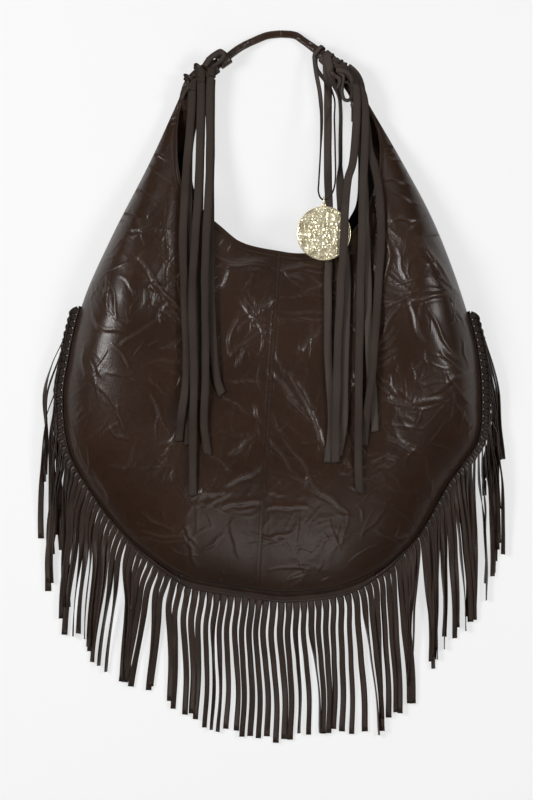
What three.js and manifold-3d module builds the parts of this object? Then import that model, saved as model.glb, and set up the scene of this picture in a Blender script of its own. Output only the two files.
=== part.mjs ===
// A hobo shoulder bag of crinkled leather, lying on its back.
// Millimetres, +Z up. +Y runs from the bottom fringe to the handle.
// The origin is on the underside of the back panel, midway between the mouth's lowest point and
// the bottom edge, so Z = 0 is the surface that the bag lies on.

import * as THREE from 'three';
import { mergeVertices } from 'three/addons/utils/BufferGeometryUtils.js';
import Module from 'manifold-3d';

const wasm = await Module();
wasm.setup();

// Body
const bodyWidth = 417;
const bodyHeight = 496;
const bodyThickness = 60;
const mouthWidth = 203;
const mouthDepth = 157;
const mouthShift = 6.5;
const mouthHeight = 34;
const shoulderStep = 6;
const leatherThickness = 1.4;
const liningThickness = 0.8;
const seamHeight = 13;
const backCurl = 55;
const puffReach = 260;
const frontTipWidth = 3.5;
const fitGap = 0.3;

// Handle
const handleRise = 65;
const handleTopShift = 9;
const strapThickness = 7.5;
const strapWidthAtTop = 7.5;
const strapWidthAtLeftFoot = 27;
const strapWidthAtRightFoot = 17.5;
const keeperWidth = 12;
const keeperThickness = 1.8;

// Fringe
const fringePitch = 7;
const fringeStripWidth = 6.3;
const fringeThickness = 0.9;
const fringeBandAtBottom = 13;
const fringeBandAtSide = 6;
const fringeTuck = 6;
const fringeStart = 231;
const bottomFringeLength = 198;
const bottomFringeShift = 8;
const fringeSway = 2.2;
const fringeSwayPeriod = 47;

// Tassel thongs
const thongWidth = 8;
const thongThickness = 1.6;
const laceWidth = 4.2;

// Medallion
const discRadius = 27;
const discThickness = 2.2;
const discRelief = 0.35;
const earHoleRadius = 1;
const earBar = 1.3;
const earThickness = 1.8;
const ringWire = 1.1;
const ringInnerRadius = 3.6;
const swingLeft = 35;
const swingRight = 20;

const leather = new THREE.MeshStandardMaterial({ color: 0x33241c, roughness: 0.42, metalness: 0 });
const liningCloth = new THREE.MeshStandardMaterial({ color: 0x0c0806, roughness: 0.9, metalness: 0 });
const thongLeather = new THREE.MeshStandardMaterial({ color: 0x463e3a, roughness: 0.75, metalness: 0 });
const paleGold = new THREE.MeshStandardMaterial({ color: 0xc8b982, roughness: 0.3, metalness: 1 });

const bag = new THREE.Group();

function addPiece(name, geometry, material) {
  const piece = new THREE.Mesh(geometry, material);
  piece.name = name;
  bag.add(piece);
}

function smooth(value) {
  const t = Math.min(1, Math.max(0, value));
  return t * t * (3 - 2 * t);
}

function mix(a, b, t) {
  return a + (b - a) * t;
}

// A repeatable share between 0 and 1 for a whole number.
function scatter(index) {
  const wave = Math.sin(index * 12.9898 + 4.1414) * 43758.5453;
  return wave - Math.floor(wave);
}

// One closed body from corner points and triangles, with its faces turned outwards.
function closedBody(points, triangles) {
  let volume = 0;
  const cross = new THREE.Vector3();
  for (const [a, b, c] of triangles) {
    volume += points[a].dot(cross.crossVectors(points[b], points[c]));
  }
  const index = triangles.flatMap(([a, b, c]) => (volume > 0 ? [a, b, c] : [a, c, b]));
  const flat = points.flatMap((point) => point.toArray());
  const geometry = new THREE.BufferGeometry();
  geometry.setAttribute('position', new THREE.Float32BufferAttribute(flat, 3));
  geometry.setIndex(index);
  return geometry;
}

// A sheet between two grids of points, each a list of rows. Each cell is split from its first
// corner, or from its second where the test says so.
function sheetBody(upper, lower, splitFromSecond = () => false) {
  const rowCount = upper.length;
  const columnCount = upper[0].length;
  const points = [...upper.flat(), ...lower.flat()];
  const under = rowCount * columnCount;
  const triangles = [];
  const quad = (a, b, c, d) => triangles.push([a, b, c], [a, c, d]);
  for (let r = 0; r + 1 < rowCount; r += 1) {
    for (let c = 0; c + 1 < columnCount; c += 1) {
      const a = r * columnCount + c;
      const b = a + columnCount;
      if (splitFromSecond(r, c)) {
        quad(a + 1, b + 1, b, a);
        quad(under + a + 1, under + a, under + b, under + b + 1);
      } else {
        quad(a, a + 1, b + 1, b);
        quad(under + a, under + b, under + b + 1, under + a + 1);
      }
    }
  }
  const rim = [];
  for (let c = 0; c < columnCount; c += 1) rim.push(c);
  for (let r = 1; r < rowCount; r += 1) rim.push(r * columnCount + columnCount - 1);
  for (let c = columnCount - 2; c >= 0; c -= 1) rim.push((rowCount - 1) * columnCount + c);
  for (let r = rowCount - 2; r > 0; r -= 1) rim.push(r * columnCount);
  rim.forEach((a, i) => {
    const b = rim[(i + 1) % rim.length];
    quad(b, a, under + a, under + b);
  });
  return closedBody(points, triangles);
}

// A bar through a list of sections, each a ring of points, capped at its ends or closed to a loop.
function sweptBody(sections, loop = false) {
  const size = sections[0].length;
  const triangles = [];
  const last = loop ? sections.length : sections.length - 1;
  for (let s = 0; s < last; s += 1) {
    const next = (s + 1) % sections.length;
    for (let k = 0; k < size; k += 1) {
      const a = s * size + k;
      const b = s * size + ((k + 1) % size);
      const c = next * size + ((k + 1) % size);
      const d = next * size + k;
      triangles.push([a, b, c], [a, c, d]);
    }
  }
  if (!loop) {
    const end = (sections.length - 1) * size;
    for (let k = 1; k + 1 < size; k += 1) {
      triangles.push([0, k + 1, k], [end, end + k, end + k + 1]);
    }
  }
  return closedBody(sections.flat(), triangles);
}

function toSolid(geometry) {
  const plain = new THREE.BufferGeometry();
  plain.setAttribute('position', geometry.getAttribute('position').clone());
  if (geometry.index) plain.setIndex(geometry.index.clone());
  const merged = mergeVertices(plain, 1e-3);
  return new wasm.Manifold(new wasm.Mesh({
    numProp: 3,
    vertProperties: new Float32Array(merged.getAttribute('position').array),
    triVerts: new Uint32Array(merged.index.array),
  }));
}

function fromSolid(solid) {
  const mesh = solid.getMesh();
  const geometry = new THREE.BufferGeometry();
  geometry.setAttribute('position', new THREE.BufferAttribute(new Float32Array(mesh.vertProperties), 3));
  geometry.setIndex(new THREE.BufferAttribute(new Uint32Array(mesh.triVerts), 1));
  return geometry;
}

function joined(geometries) {
  return fromSolid(geometries.map(toSolid).reduce((whole, solid) => whole.add(solid)));
}

function planCurve(points) {
  const corners = points.map(([x, y, z = 0]) => new THREE.Vector3(x, y, z));
  const curve = new THREE.CatmullRomCurve3(corners, false, 'centripetal');
  curve.arcLengthDivisions = 600;
  return curve;
}

// Outlines of the body, drawn from the left shoulder tip round the bottom to the right one.
// Across is in hundredths of half the width, down is in hundredths of the height.
const outlineDrawn = [
  [-44.4, 0], [-59, 13.3], [-76.7, 27.8], [-90.6, 41.1], [-97.4, 53.2], [-99.7, 60.9],
  [-96.4, 71.6], [-82.9, 81.5], [-65.7, 89.9], [-43.6, 96.2], [-21.6, 98.3], [-7, 99.2],
  [5.8, 99.8], [34, 98.4], [53.7, 94.5], [68.1, 89], [83.9, 77.8], [98.3, 68.8], [100, 62.9],
  [98.1, 50.8], [90.2, 38.7], [77.2, 24.6], [60.9, 11.7],
];
const outlineSeamPoint = 11;
const rightTipDrawn = 46.3;
const mouthDrawn = [
  [-98.5, 12], [-100, 26.8], [-96.5, 52.2], [-82.3, 68.2], [-58.6, 82.8], [-36, 93],
  [0.5, 98.5], [21.2, 100], [45.8, 98], [65.5, 91], [78.3, 81.5], [87.2, 72], [98, 49],
  [100, 33], [97, 20],
];
const backMouthDrawn = [
  [-80, 15], [-85, 33], [-85, 55], [-73.4, 72], [-55.7, 81], [-34, 90],
  [0.5, 95], [21.2, 97], [44.8, 94.5], [61, 87], [69.5, 78], [76.8, 68.5], [79.3, 46],
  [77.3, 22],
];
const mouthSeamPoint = 7;

const shoulderY = (bodyHeight + mouthDepth) / 2;
const rightShoulderY = shoulderY - shoulderStep;
const outline = outlineDrawn.map(([x, y]) => [x * bodyWidth / 200, shoulderY - y * bodyHeight / 100]);
outline.push([rightTipDrawn * bodyWidth / 200, rightShoulderY]);
const leftTipX = outline[0][0];
const rightTipX = outline[outline.length - 1][0];

function mouthLine(drawn, leftTipWidth, rightTipWidth) {
  const points = drawn.map(([x, y]) => (
    [mouthShift + x * mouthWidth / 200, shoulderY - y * mouthDepth / 100]
  ));
  return [[leftTipX + leftTipWidth, shoulderY], ...points, [rightTipX - rightTipWidth, rightShoulderY]];
}

// A line from shoulder to shoulder, read from either shoulder tip (0) to the centre seam (1).
function seamedLine(points, seamPoint) {
  const whole = planCurve(points);
  const length = whole.getLength();
  const beforeSeam = planCurve(points.slice(0, seamPoint + 1)).getLength();
  const seamShare = beforeSeam / length;
  const at = (side, u) => (
    whole.getPointAt(side === 'left' ? u * seamShare : 1 - u * (1 - seamShare))
  );
  const arcAt = (side, u) => length * (side === 'left' ? u * seamShare : u * (1 - seamShare));
  return { whole, length, at, arcAt };
}

const edge = seamedLine(outline, outlineSeamPoint);
const frontMouth = seamedLine(mouthLine(mouthDrawn, frontTipWidth, frontTipWidth), mouthSeamPoint);
const backMouth = seamedLine(
  mouthLine(backMouthDrawn, strapWidthAtLeftFoot, strapWidthAtRightFoot),
  mouthSeamPoint,
);

// The back panel lies flat and curls up to the seam. The front panel puffs over it.
const fringeRoom = fringeThickness + 2 * fitGap;

function seamOpening(side, u) {
  const beforeFringe = fringeStart - edge.arcAt(side, u);
  return mix(fringeRoom, fitGap, smooth((beforeFringe - 4) / 30));
}

const crownLift = 0.27;

function frontTop(side, u, v, reach) {
  const seamTop = seamHeight + seamOpening(side, u) / 2 + leatherThickness;
  const lift = (mouthHeight - seamTop) * smooth(reach / 200);
  const puff = (bodyThickness - seamTop - crownLift * lift) * smooth(reach / puffReach);
  return seamTop + puff * Math.sin(Math.PI * v ** 0.75) + lift * v ** 1.5;
}

function backTop(side, u, v, reach) {
  const seamTop = seamHeight - seamOpening(side, u) / 2;
  const settle = smooth((reach - 25) / 110) * smooth(v * reach / backCurl);
  return mix(seamTop, leatherThickness, settle);
}

function panelPoint(side, face, u, v) {
  const outer = edge.at(side, u);
  const inner = (face === 'front' ? frontMouth : backMouth).at(side, u);
  const reach = outer.distanceTo(inner);
  const point = outer.lerp(inner, v);
  if (u === 1) point.x += (side === 'left' ? -fitGap : fitGap) / 2;
  point.z = face === 'front' ? frontTop(side, u, v, reach) : backTop(side, u, v, reach);
  return point;
}

const panelColumns = 14;
const panelRows = [0, 0.025, 0.08, 0.17, 0.32, 0.52, 0.75, 1];
const columnShares = Array.from({ length: panelColumns }, (_, c) => c / (panelColumns - 1));

function lowered(grid, drop) {
  return grid.map((row) => row.map((point) => new THREE.Vector3(point.x, point.y, point.z - drop)));
}

function panelGrid(side, face) {
  return columnShares.map((u) => panelRows.map((v) => panelPoint(side, face, u, v)));
}

const panelGrids = {};
for (const face of ['front', 'back']) {
  for (const side of ['left', 'right']) {
    const grid = panelGrid(side, face);
    panelGrids[`${face}_${side}`] = grid;
    addPiece(`${face}_panel_${side}`, sheetBody(grid, lowered(grid, leatherThickness)), leather);
  }
}

// The lining is one folded sheet inside the panels, open at the mouth.
function makeLining() {
  const firstColumn = 3;
  const foldRow = 3;
  const columns = [];
  for (const side of ['left', 'right']) {
    const list = [];
    for (let c = firstColumn; c < panelColumns; c += 1) {
      if (side === 'right' && c === panelColumns - 1) continue;
      list.push({ front: panelGrids[`front_${side}`][c], back: panelGrids[`back_${side}`][c] });
    }
    columns.push(...(side === 'left' ? list : list.reverse()));
  }
  const outer = [];
  const inner = [];
  const frontDrop = leatherThickness + fitGap;
  for (const { front, back } of columns) {
    const outerRow = [];
    const innerRow = [];
    const lastRow = front.length - 1;
    for (let r = lastRow; r >= foldRow; r -= 1) {
      const point = front[r].clone();
      point.z -= frontDrop;
      outerRow.push(point);
      const inside = point.clone();
      if (r === foldRow) inside.lerp(front[r + 1], 0.04);
      inside.z = point.z - liningThickness;
      innerRow.push(inside);
    }
    for (let r = foldRow; r <= lastRow; r += 1) {
      const point = back[r].clone();
      point.z += fitGap;
      outerRow.push(point);
      const inside = point.clone();
      if (r === foldRow) inside.lerp(back[r + 1], 0.04);
      inside.z = point.z + liningThickness;
      innerRow.push(inside);
    }
    outer.push(outerRow);
    inner.push(innerRow);
  }
  const seamColumn = panelColumns - 1 - firstColumn;
  const lastFrontCell = panelRows.length - 1 - foldRow;
  const onLeft = (r) => r < seamColumn;
  const onFront = (c) => c < lastFrontCell;
  return sheetBody(outer, inner, (r, c) => onLeft(r) === onFront(c));
}
addPiece('lining', makeLining(), liningCloth);

// Handle: two tapered straps that butt at the top of the loop. Each line runs from its foot (0, 0)
// to the top (1, 1), in shares of the distance across and up.
const leftStrapDrawn = [
  [0, 0], [0.029, 0.172], [0.11, 0.352], [0.225, 0.48], [0.341, 0.577], [0.526, 0.768],
  [0.711, 0.9], [0.85, 0.975], [1, 1],
];
const rightStrapDrawn = [
  [0, 0], [0.038, 0.157], [0.127, 0.299], [0.241, 0.442], [0.342, 0.556], [0.443, 0.662],
  [0.557, 0.769], [0.709, 0.897], [0.823, 0.979], [1, 1],
];
const handleTopY = shoulderY + handleRise;

function strapLine(side) {
  const left = side === 'left';
  const footWidth = left ? strapWidthAtLeftFoot : strapWidthAtRightFoot;
  const footX = left ? leftTipX + footWidth / 2 : rightTipX - footWidth / 2;
  const footY = (left ? shoulderY : rightShoulderY) + fitGap;
  const topX = handleTopShift + (left ? -fitGap : fitGap) / 2;
  const drawn = left ? leftStrapDrawn : rightStrapDrawn;
  const points = drawn.map(([across, up]) => [
    mix(footX, topX, across),
    mix(footY, handleTopY, up),
    mix(seamHeight + 1, strapThickness / 2 + fitGap, smooth((up - 0.6) / 0.4)),
  ]);
  const curve = planCurve(points);
  const taper = left ? 0.6 : 0.8;
  const widthAt = (share) => mix(footWidth, strapWidthAtTop, smooth(share / taper));
  return { curve, widthAt, length: curve.getLength() };
}

const straps = { left: strapLine('left'), right: strapLine('right') };
const up = new THREE.Vector3(0, 0, 1);

// Directions at a share of a strap's length: along it, across it and out of its front.
function strapFrame(side, share) {
  const { curve } = straps[side];
  const along = curve.getTangentAt(share);
  if (share === 0) along.set(0, 1, 0);
  if (share === 1) along.set(side === 'left' ? 1 : -1, 0, 0);
  const across = new THREE.Vector3().crossVectors(up, along).normalize();
  const front = new THREE.Vector3().crossVectors(along, across).normalize();
  return { centre: curve.getPointAt(share), along, across, front };
}

function makeStrap(side) {
  const steps = 12;
  const sections = [];
  for (let s = 0; s <= steps; s += 1) {
    const share = s / steps;
    const { centre, across, front } = strapFrame(side, share);
    const half = straps[side].widthAt(share) / 2;
    const rise = strapThickness / 2;
    const round = Math.min(2.4, half * 0.6);
    const ring = [
      [half, -rise * 0.4], [half, rise * 0.4], [half - round, rise], [round - half, rise],
      [-half, rise * 0.4], [-half, -rise * 0.4], [round - half, -rise], [half - round, -rise],
    ];
    sections.push(ring.map(([a, f]) => (
      centre.clone().addScaledVector(across, a).addScaledVector(front, f)
    )));
  }
  return sweptBody(sections);
}
addPiece('handle_strap_left', makeStrap('left'), leather);
addPiece('handle_strap_right', makeStrap('right'), leather);

// A band that goes once round a strap.
const bandClearance = fitGap + 0.6;

function bandSize(side, distance, width, thickness) {
  const { length, widthAt } = straps[side];
  const share = distance / length;
  const widest = widthAt(share - width / 2 / length);
  const halfInside = widest / 2 + bandClearance;
  const riseInside = strapThickness / 2 + bandClearance;
  return { share, halfInside, riseInside, half: halfInside + thickness, rise: riseInside + thickness };
}

function strapBand(side, distance, width, thickness) {
  const { share, halfInside, riseInside, half, rise } = bandSize(side, distance, width, thickness);
  const { centre, along, across, front } = strapFrame(side, share);
  const outlineShape = new THREE.Shape([
    new THREE.Vector2(half, -rise), new THREE.Vector2(half, rise),
    new THREE.Vector2(-half, rise), new THREE.Vector2(-half, -rise),
  ]);
  outlineShape.holes.push(new THREE.Path([
    new THREE.Vector2(halfInside, -riseInside), new THREE.Vector2(-halfInside, -riseInside),
    new THREE.Vector2(-halfInside, riseInside), new THREE.Vector2(halfInside, riseInside),
  ]));
  const band = new THREE.ExtrudeGeometry(outlineShape, { depth: width, bevelEnabled: false });
  band.translate(0, 0, -width / 2);
  band.applyMatrix4(new THREE.Matrix4().makeBasis(across, front, along).setPosition(centre));
  return band;
}

const keeperDistance = 51;
addPiece(
  'handle_keeper',
  strapBand('left', keeperDistance, keeperWidth, keeperThickness),
  leather,
);

// What a thong rests on: the highest surface under a point, as far as the point's own half width.
function heightOverTriangle(a, b, c, x, y) {
  const area = (b.x - a.x) * (c.y - a.y) - (c.x - a.x) * (b.y - a.y);
  const wb = ((x - a.x) * (c.y - a.y) - (c.x - a.x) * (y - a.y)) / area;
  const wc = ((b.x - a.x) * (y - a.y) - (x - a.x) * (b.y - a.y)) / area;
  if (wb < 0 || wc < 0 || wb + wc > 1) return -Infinity;
  return a.z + wb * (b.z - a.z) + wc * (c.z - a.z);
}

function heightOverGrid(grid, x, y) {
  let highest = -Infinity;
  for (let r = 0; r + 1 < grid.length; r += 1) {
    for (let c = 0; c + 1 < grid[r].length; c += 1) {
      const [a, b, d, e] = [grid[r][c], grid[r][c + 1], grid[r + 1][c + 1], grid[r + 1][c]];
      const height = Math.max(heightOverTriangle(a, b, d, x, y), heightOverTriangle(a, d, e, x, y));
      if (height > highest) highest = height;
    }
  }
  return highest;
}

function frontSurface(x, y) {
  return Math.max(
    heightOverGrid(panelGrids.front_left, x, y),
    heightOverGrid(panelGrids.front_right, x, y),
  );
}

// Each thing that a thong can lie over, as [x, y, height, reach].
const rests = [];

function restOver(x, y, halfWidth) {
  let height = Math.max(
    frontSurface(x, y),
    frontSurface(x - halfWidth, y),
    frontSurface(x + halfWidth, y),
  );
  for (const [restX, restY, restHeight, reach] of rests) {
    if (restHeight > height && Math.hypot(restX - x, restY - y) < reach + halfWidth) {
      height = restHeight;
    }
  }
  return height;
}

for (const side of ['left', 'right']) {
  const { curve, widthAt, length } = straps[side];
  for (let distance = 0; distance < length * 0.7; distance += 2) {
    const centre = curve.getPointAt(distance / length);
    rests.push([
      centre.x, centre.y, centre.z + strapThickness / 2, widthAt(distance / length) / 2,
    ]);
  }
}

// Heights along a limp strip over what lies below it: it bridges hollows, but with a slight sag.
const sag = 0.0022;

function drapedHeights(samples) {
  const hull = [];
  for (const { along, height } of samples) {
    if (height === -Infinity) continue;
    const sample = { along, height: height - sag * along ** 2 };
    while (hull.length > 1) {
      const [a, b] = hull.slice(-2);
      const turn = (b.along - a.along) * (sample.height - a.height)
        - (b.height - a.height) * (sample.along - a.along);
      if (turn < 0) break;
      hull.pop();
    }
    hull.push(sample);
  }
  return (along) => {
    let k = 0;
    while (k + 2 < hull.length && hull[k + 1].along < along) k += 1;
    const [a, b] = [hull[k], hull[k + 1]];
    return mix(a.height, b.height, (along - a.along) / (b.along - a.along)) + sag * along ** 2;
  };
}

const bendLift = 0.45;

// A flat strip of leather along a plan route, lying on whatever is under it.
function layStrip(route, startHeight, width) {
  const plan = planCurve(route);
  const length = plan.getLength();
  const half = width / 2;
  const samples = [{ along: 0, height: startHeight }];
  const pinned = 5;
  for (let along = pinned; along <= length; along += 3) {
    const { x, y } = plan.getPointAt(along / length);
    const rest = restOver(x, y, half);
    samples.push({ along, height: rest > -Infinity ? rest + fitGap + bendLift : rest });
  }
  samples.push({ ...samples.at(-1), along: length });
  const heightAt = drapedHeights(samples);
  const stations = [0, pinned, 13, 22, 34, 50];
  const even = Math.ceil((length - 50) / 27);
  for (let k = 1; k <= even; k += 1) stations.push(50 + k * (length - 50) / even);
  for (const { along, height } of samples) {
    const next = stations.findIndex((station) => station > along);
    if (next < 1) continue;
    const [before, after] = [stations[next - 1], stations[next]];
    const straight = mix(heightAt(before), heightAt(after), (along - before) / (after - before));
    if (straight < height - bendLift / 2) stations.splice(next, 0, along);
  }
  const sections = stations.map((along) => {
    const share = Math.min(along / length, 1);
    const { x, y } = plan.getPointAt(share);
    const heading = plan.getTangentAt(share);
    const across = new THREE.Vector3().crossVectors(up, heading).normalize();
    const bottom = heightAt(along);
    const corner = (a, z) => new THREE.Vector3(x + across.x * a, y + across.y * a, z);
    return [
      corner(half, bottom), corner(half, bottom + thongThickness),
      corner(-half, bottom + thongThickness), corner(-half, bottom),
    ];
  });
  for (let along = 2; along <= length; along += 4) {
    const { x, y } = plan.getPointAt(along / length);
    rests.push([x, y, heightAt(along) + thongThickness, half + 0.15]);
  }
  return sweptBody(sections);
}

// Each thong is hitched round a strap, at a distance from the strap's foot, and has two tails.
// Tail routes are in millimetres from the point where the strap crosses the hitch.
const hitches = {
  left_1: { side: 'left', distance: 15 },
  left_2: { side: 'left', distance: 26.5 },
  left_3: { side: 'left', distance: 38.5 },
  right_1: { side: 'right', distance: 57.5 },
  right_2: { side: 'right', distance: 46 },
  right_3: { side: 'right', distance: 34.5 },
};
const hitchBandWidth = 6;
const tailEmbed = 1.2;

for (const hitch of Object.values(hitches)) {
  const { side, distance } = hitch;
  const { share, half, rise } = bandSize(side, distance, hitchBandWidth, thongThickness);
  const { centre, across, front } = strapFrame(side, share);
  hitch.centre = centre;
  hitch.top = centre.z + rise;
  hitch.parts = [strapBand(side, distance, hitchBandWidth, thongThickness)];
  for (let a = -half + 3; a <= half - 3; a += 2) {
    const spot = centre.clone().addScaledVector(across, a).addScaledVector(front, rise);
    rests.push([spot.x, spot.y, hitch.top + 0.3, hitchBandWidth / 2 + 2]);
  }
}

function addTail(hitchName, routeFromHitch) {
  const hitch = hitches[hitchName];
  const { centre } = hitch;
  const route = routeFromHitch.map(([x, y]) => [centre.x + x, centre.y + y]);
  hitch.parts.push(layStrip(route, hitch.top - tailEmbed, thongWidth));
}

const tails = [
  ['left_1', [[-4.5, 0], [-4, -12], [-5, -27], [-7, -67], [-7, -127], [-7, -207], [-8, -277],
    [-8.5, -347], [-9, -362]]],
  ['left_2', [[-2, -2], [-1.5, -18.5], [-1.5, -56.5], [-3, -126.5], [-3.5, -216.5], [-4, -326.5]]],
  ['left_3', [[-0.5, -2.5], [-1.5, -19], [-2, -64], [-2.5, -134], [-2, -214], [0.5, -274],
    [4.5, -314], [10, -328.5]]],
  ['left_1', [[-5, 3], [-5, -12], [-7, -47], [-10, -82], [-12, -117], [-13.5, -157], [-12, -207],
    [-9.5, -277], [-10, -297], [-14.5, -332], [-17.5, -358]]],
  ['left_2', [[-2.5, 1.5], [-2.5, -21.5], [-3.5, -56.5], [-4, -91.5], [-5.5, -126.5], [-8, -166.5],
    [-10.5, -216.5], [-8.5, -306.5], [-9.5, -346.5], [-10, -421.5]]],
  ['left_3', [[-1.5, 0], [-3, -29], [-3, -64], [-3, -99], [-4.5, -134], [-6.5, -174], [-7.5, -224],
    [-7, -314], [-8.5, -354], [-6.5, -374], [-4.5, -388]]],
  ['right_1', [[-1, -2], [0.5, -14], [1.5, -26], [1.5, -52], [1.5, -122], [2.5, -147], [2, -212],
    [1.5, -222], [1, -262], [1.5, -302], [4, -342], [4.5, -368], [0.5, -404]]],
  ['right_1', [[0.5, -2], [3.5, -12], [7.2, -22], [12.2, -34], [14, -52], [14, -142], [17, -182],
    [20, -222], [19, -262], [17.5, -302], [17, -342], [16, -368], [10.5, -398]]],
  ['right_2', [[3, 3], [13, -1.5], [22.5, -11], [27, -26], [27.5, -64], [29, -99], [29.5, -144],
    [31, -184], [31.5, -194], [32.5, -234], [34, -294], [36.5, -324], [39, -365.5]]],
  ['right_3', [[-2.5, -3], [6, -11], [15, -22], [22, -41], [26.5, -76], [31, -91], [35.5, -116],
    [37.5, -141], [37.5, -176], [35, -206], [32.5, -246], [29.5, -286], [27.5, -306], [23, -341],
    [20, -371]]],
  ['right_3', [[-1.5, -2], [8, -7], [18, -16], [22.5, -34], [22.5, -56], [21, -91], [19, -136],
    [18.5, -166], [17, -206], [16.5, -246], [15.5, -286], [15, -326], [14.5, -366], [15.5, -418]]],
];
for (const [hitchName, route] of tails) addTail(hitchName, route);

// Medallion: it hangs by a ring from the bottom of a lace loop and lies on the rim of the mouth.
const ringRadius = ringInnerRadius + ringWire / 2;
const laceOffset = 0.9;
const swingX = mouthShift - 0.1 + mouthWidth * 0.222;
const swingY = shoulderY - mouthDepth * 0.66;
const ringY = swingY - laceOffset;
const earY = ringY - ringRadius;
const discY = earY - earHoleRadius - 0.3 - discRadius;
const discDrop = swingY - discY;
const radians = Math.PI / 180;

function discUnderside() {
  let highest = -Infinity;
  for (let turn = -swingLeft; turn <= swingRight; turn += 5) {
    const x = swingX + discDrop * Math.sin(turn * radians);
    const y = swingY - discDrop * Math.cos(turn * radians);
    for (let angle = 0; angle < 360; angle += 12) {
      for (const radius of [discRadius, discRadius * 0.6]) {
        const spotX = x + radius * Math.cos(angle * radians);
        const spotY = y + radius * Math.sin(angle * radians);
        highest = Math.max(highest, restOver(spotX, spotY, 0.5));
      }
    }
  }
  return highest + fitGap;
}

const discBottom = discUnderside();
const discMiddle = discBottom + discThickness / 2;

function makeMedallion() {
  const sectors = 30;
  const radii = [0, 4.5, 9.5, 14.5, 19.5, 24.2, 25.4, discRadius];
  const points = [];
  const triangles = [];
  radii.forEach((radius, ring) => {
    const count = ring === 0 ? 1 : sectors;
    for (let s = 0; s < count; s += 1) {
      const angle = (s + (ring % 2) / 2) * 360 / sectors * radians;
      const hammered = ring < 6 ? (scatter(ring * sectors + s) - 1) * discRelief * 2 : 0;
      points.push(new THREE.Vector3(radius * Math.cos(angle), radius * Math.sin(angle),
        discThickness / 2 + hammered));
    }
  });
  const topCentre = 0;
  const first = (ring) => 1 + (ring - 1) * sectors;
  for (let s = 0; s < sectors; s += 1) {
    const next = (s + 1) % sectors;
    triangles.push([topCentre, first(1) + s, first(1) + next]);
    for (let ring = 1; ring + 1 < radii.length; ring += 1) {
      const [a, b] = [first(ring) + s, first(ring + 1) + s];
      const [c, d] = [first(ring + 1) + next, first(ring) + next];
      if (ring % 2) triangles.push([a, b, d], [b, c, d]);
      else triangles.push([a, b, c], [a, c, d]);
    }
  }
  const rim = first(radii.length - 1);
  const under = points.length;
  for (let s = 0; s < sectors; s += 1) {
    points.push(new THREE.Vector3(points[rim + s].x, points[rim + s].y, -discThickness / 2));
  }
  points.push(new THREE.Vector3(0, 0, -discThickness / 2));
  for (let s = 0; s < sectors; s += 1) {
    const next = (s + 1) % sectors;
    triangles.push([rim + s, under + s, under + next], [rim + s, under + next, rim + next]);
    triangles.push([under + sectors, under + next, under + s]);
  }
  const disc = closedBody(points, triangles);
  const eye = new THREE.Shape();
  eye.absarc(0, 0, earHoleRadius + earBar, 0, Math.PI * 2);
  const hole = new THREE.Path();
  hole.absarc(0, 0, earHoleRadius, 0, Math.PI * 2, true);
  eye.holes.push(hole);
  const ear = new THREE.ExtrudeGeometry(eye, { depth: earThickness, bevelEnabled: false, curveSegments: 8 });
  ear.translate(0, earY - discY, -earThickness / 2);
  const whole = joined([disc, ear]);
  whole.translate(swingX, discY, discMiddle);
  return whole;
}
addPiece('medallion', makeMedallion(), paleGold);

function makeJumpRing() {
  const ring = new THREE.TorusGeometry(ringRadius, ringWire / 2, 6, 18);
  ring.rotateY(Math.PI / 2);
  ring.translate(swingX, ringY, discMiddle);
  return fromSolid(toSolid(ring));
}
addPiece('jump_ring', makeJumpRing(), paleGold);

// The disc and the ring are rests for the thong that lies over them.
for (let turn = -swingLeft; turn <= swingRight; turn += 5) {
  rests.push([
    swingX + discDrop * Math.sin(turn * radians), swingY - discDrop * Math.cos(turn * radians),
    discBottom + discThickness, discRadius,
  ]);
}
addTail('right_2', [[3, 2], [11, -5], [18, -14], [21.5, -26], [22, -44], [17.5, -99], [13, -114],
  [9.5, -149], [8.5, -174], [7.5, -194], [5.5, -214], [5, -234], [2.5, -274], [1.5, -314],
  [0.5, -354], [0, -396]]);

for (const [name, { parts }] of Object.entries(hitches)) {
  addPiece(`tassel_thong_${name}`, joined(parts), thongLeather);
}

// The lace loop that carries the medallion goes once round the strap. Its legs hang edge-on, so
// its width turns from level at the strap to upright at the bottom.
const laceDistance = 67.5;
const leftLegDrawn = [
  [-3.3, 1.9, 1, 1], [-5.4, 8, 1, 1], [-5.1, 17, 0.97, 1], [-3.6, 42, 0.8, 1],
  [-2, 82, 0.5, 0.6], [-3.6, 107, 0.3, 0.1], [-7.6, 130, 0.12, 0],
];
const rightLegDrawn = [
  [-6.8, 134, -0.36, 0], [3, 120, -0.3, 0], [10.8, 104, -0.14, 1], [10.9, 82, 0.15, 1],
  [11.4, 52, 0.6, 1], [11, 16, 0.97, 1], [8, 6, 1, 1], [4, 1, 1, 1],
];

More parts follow.
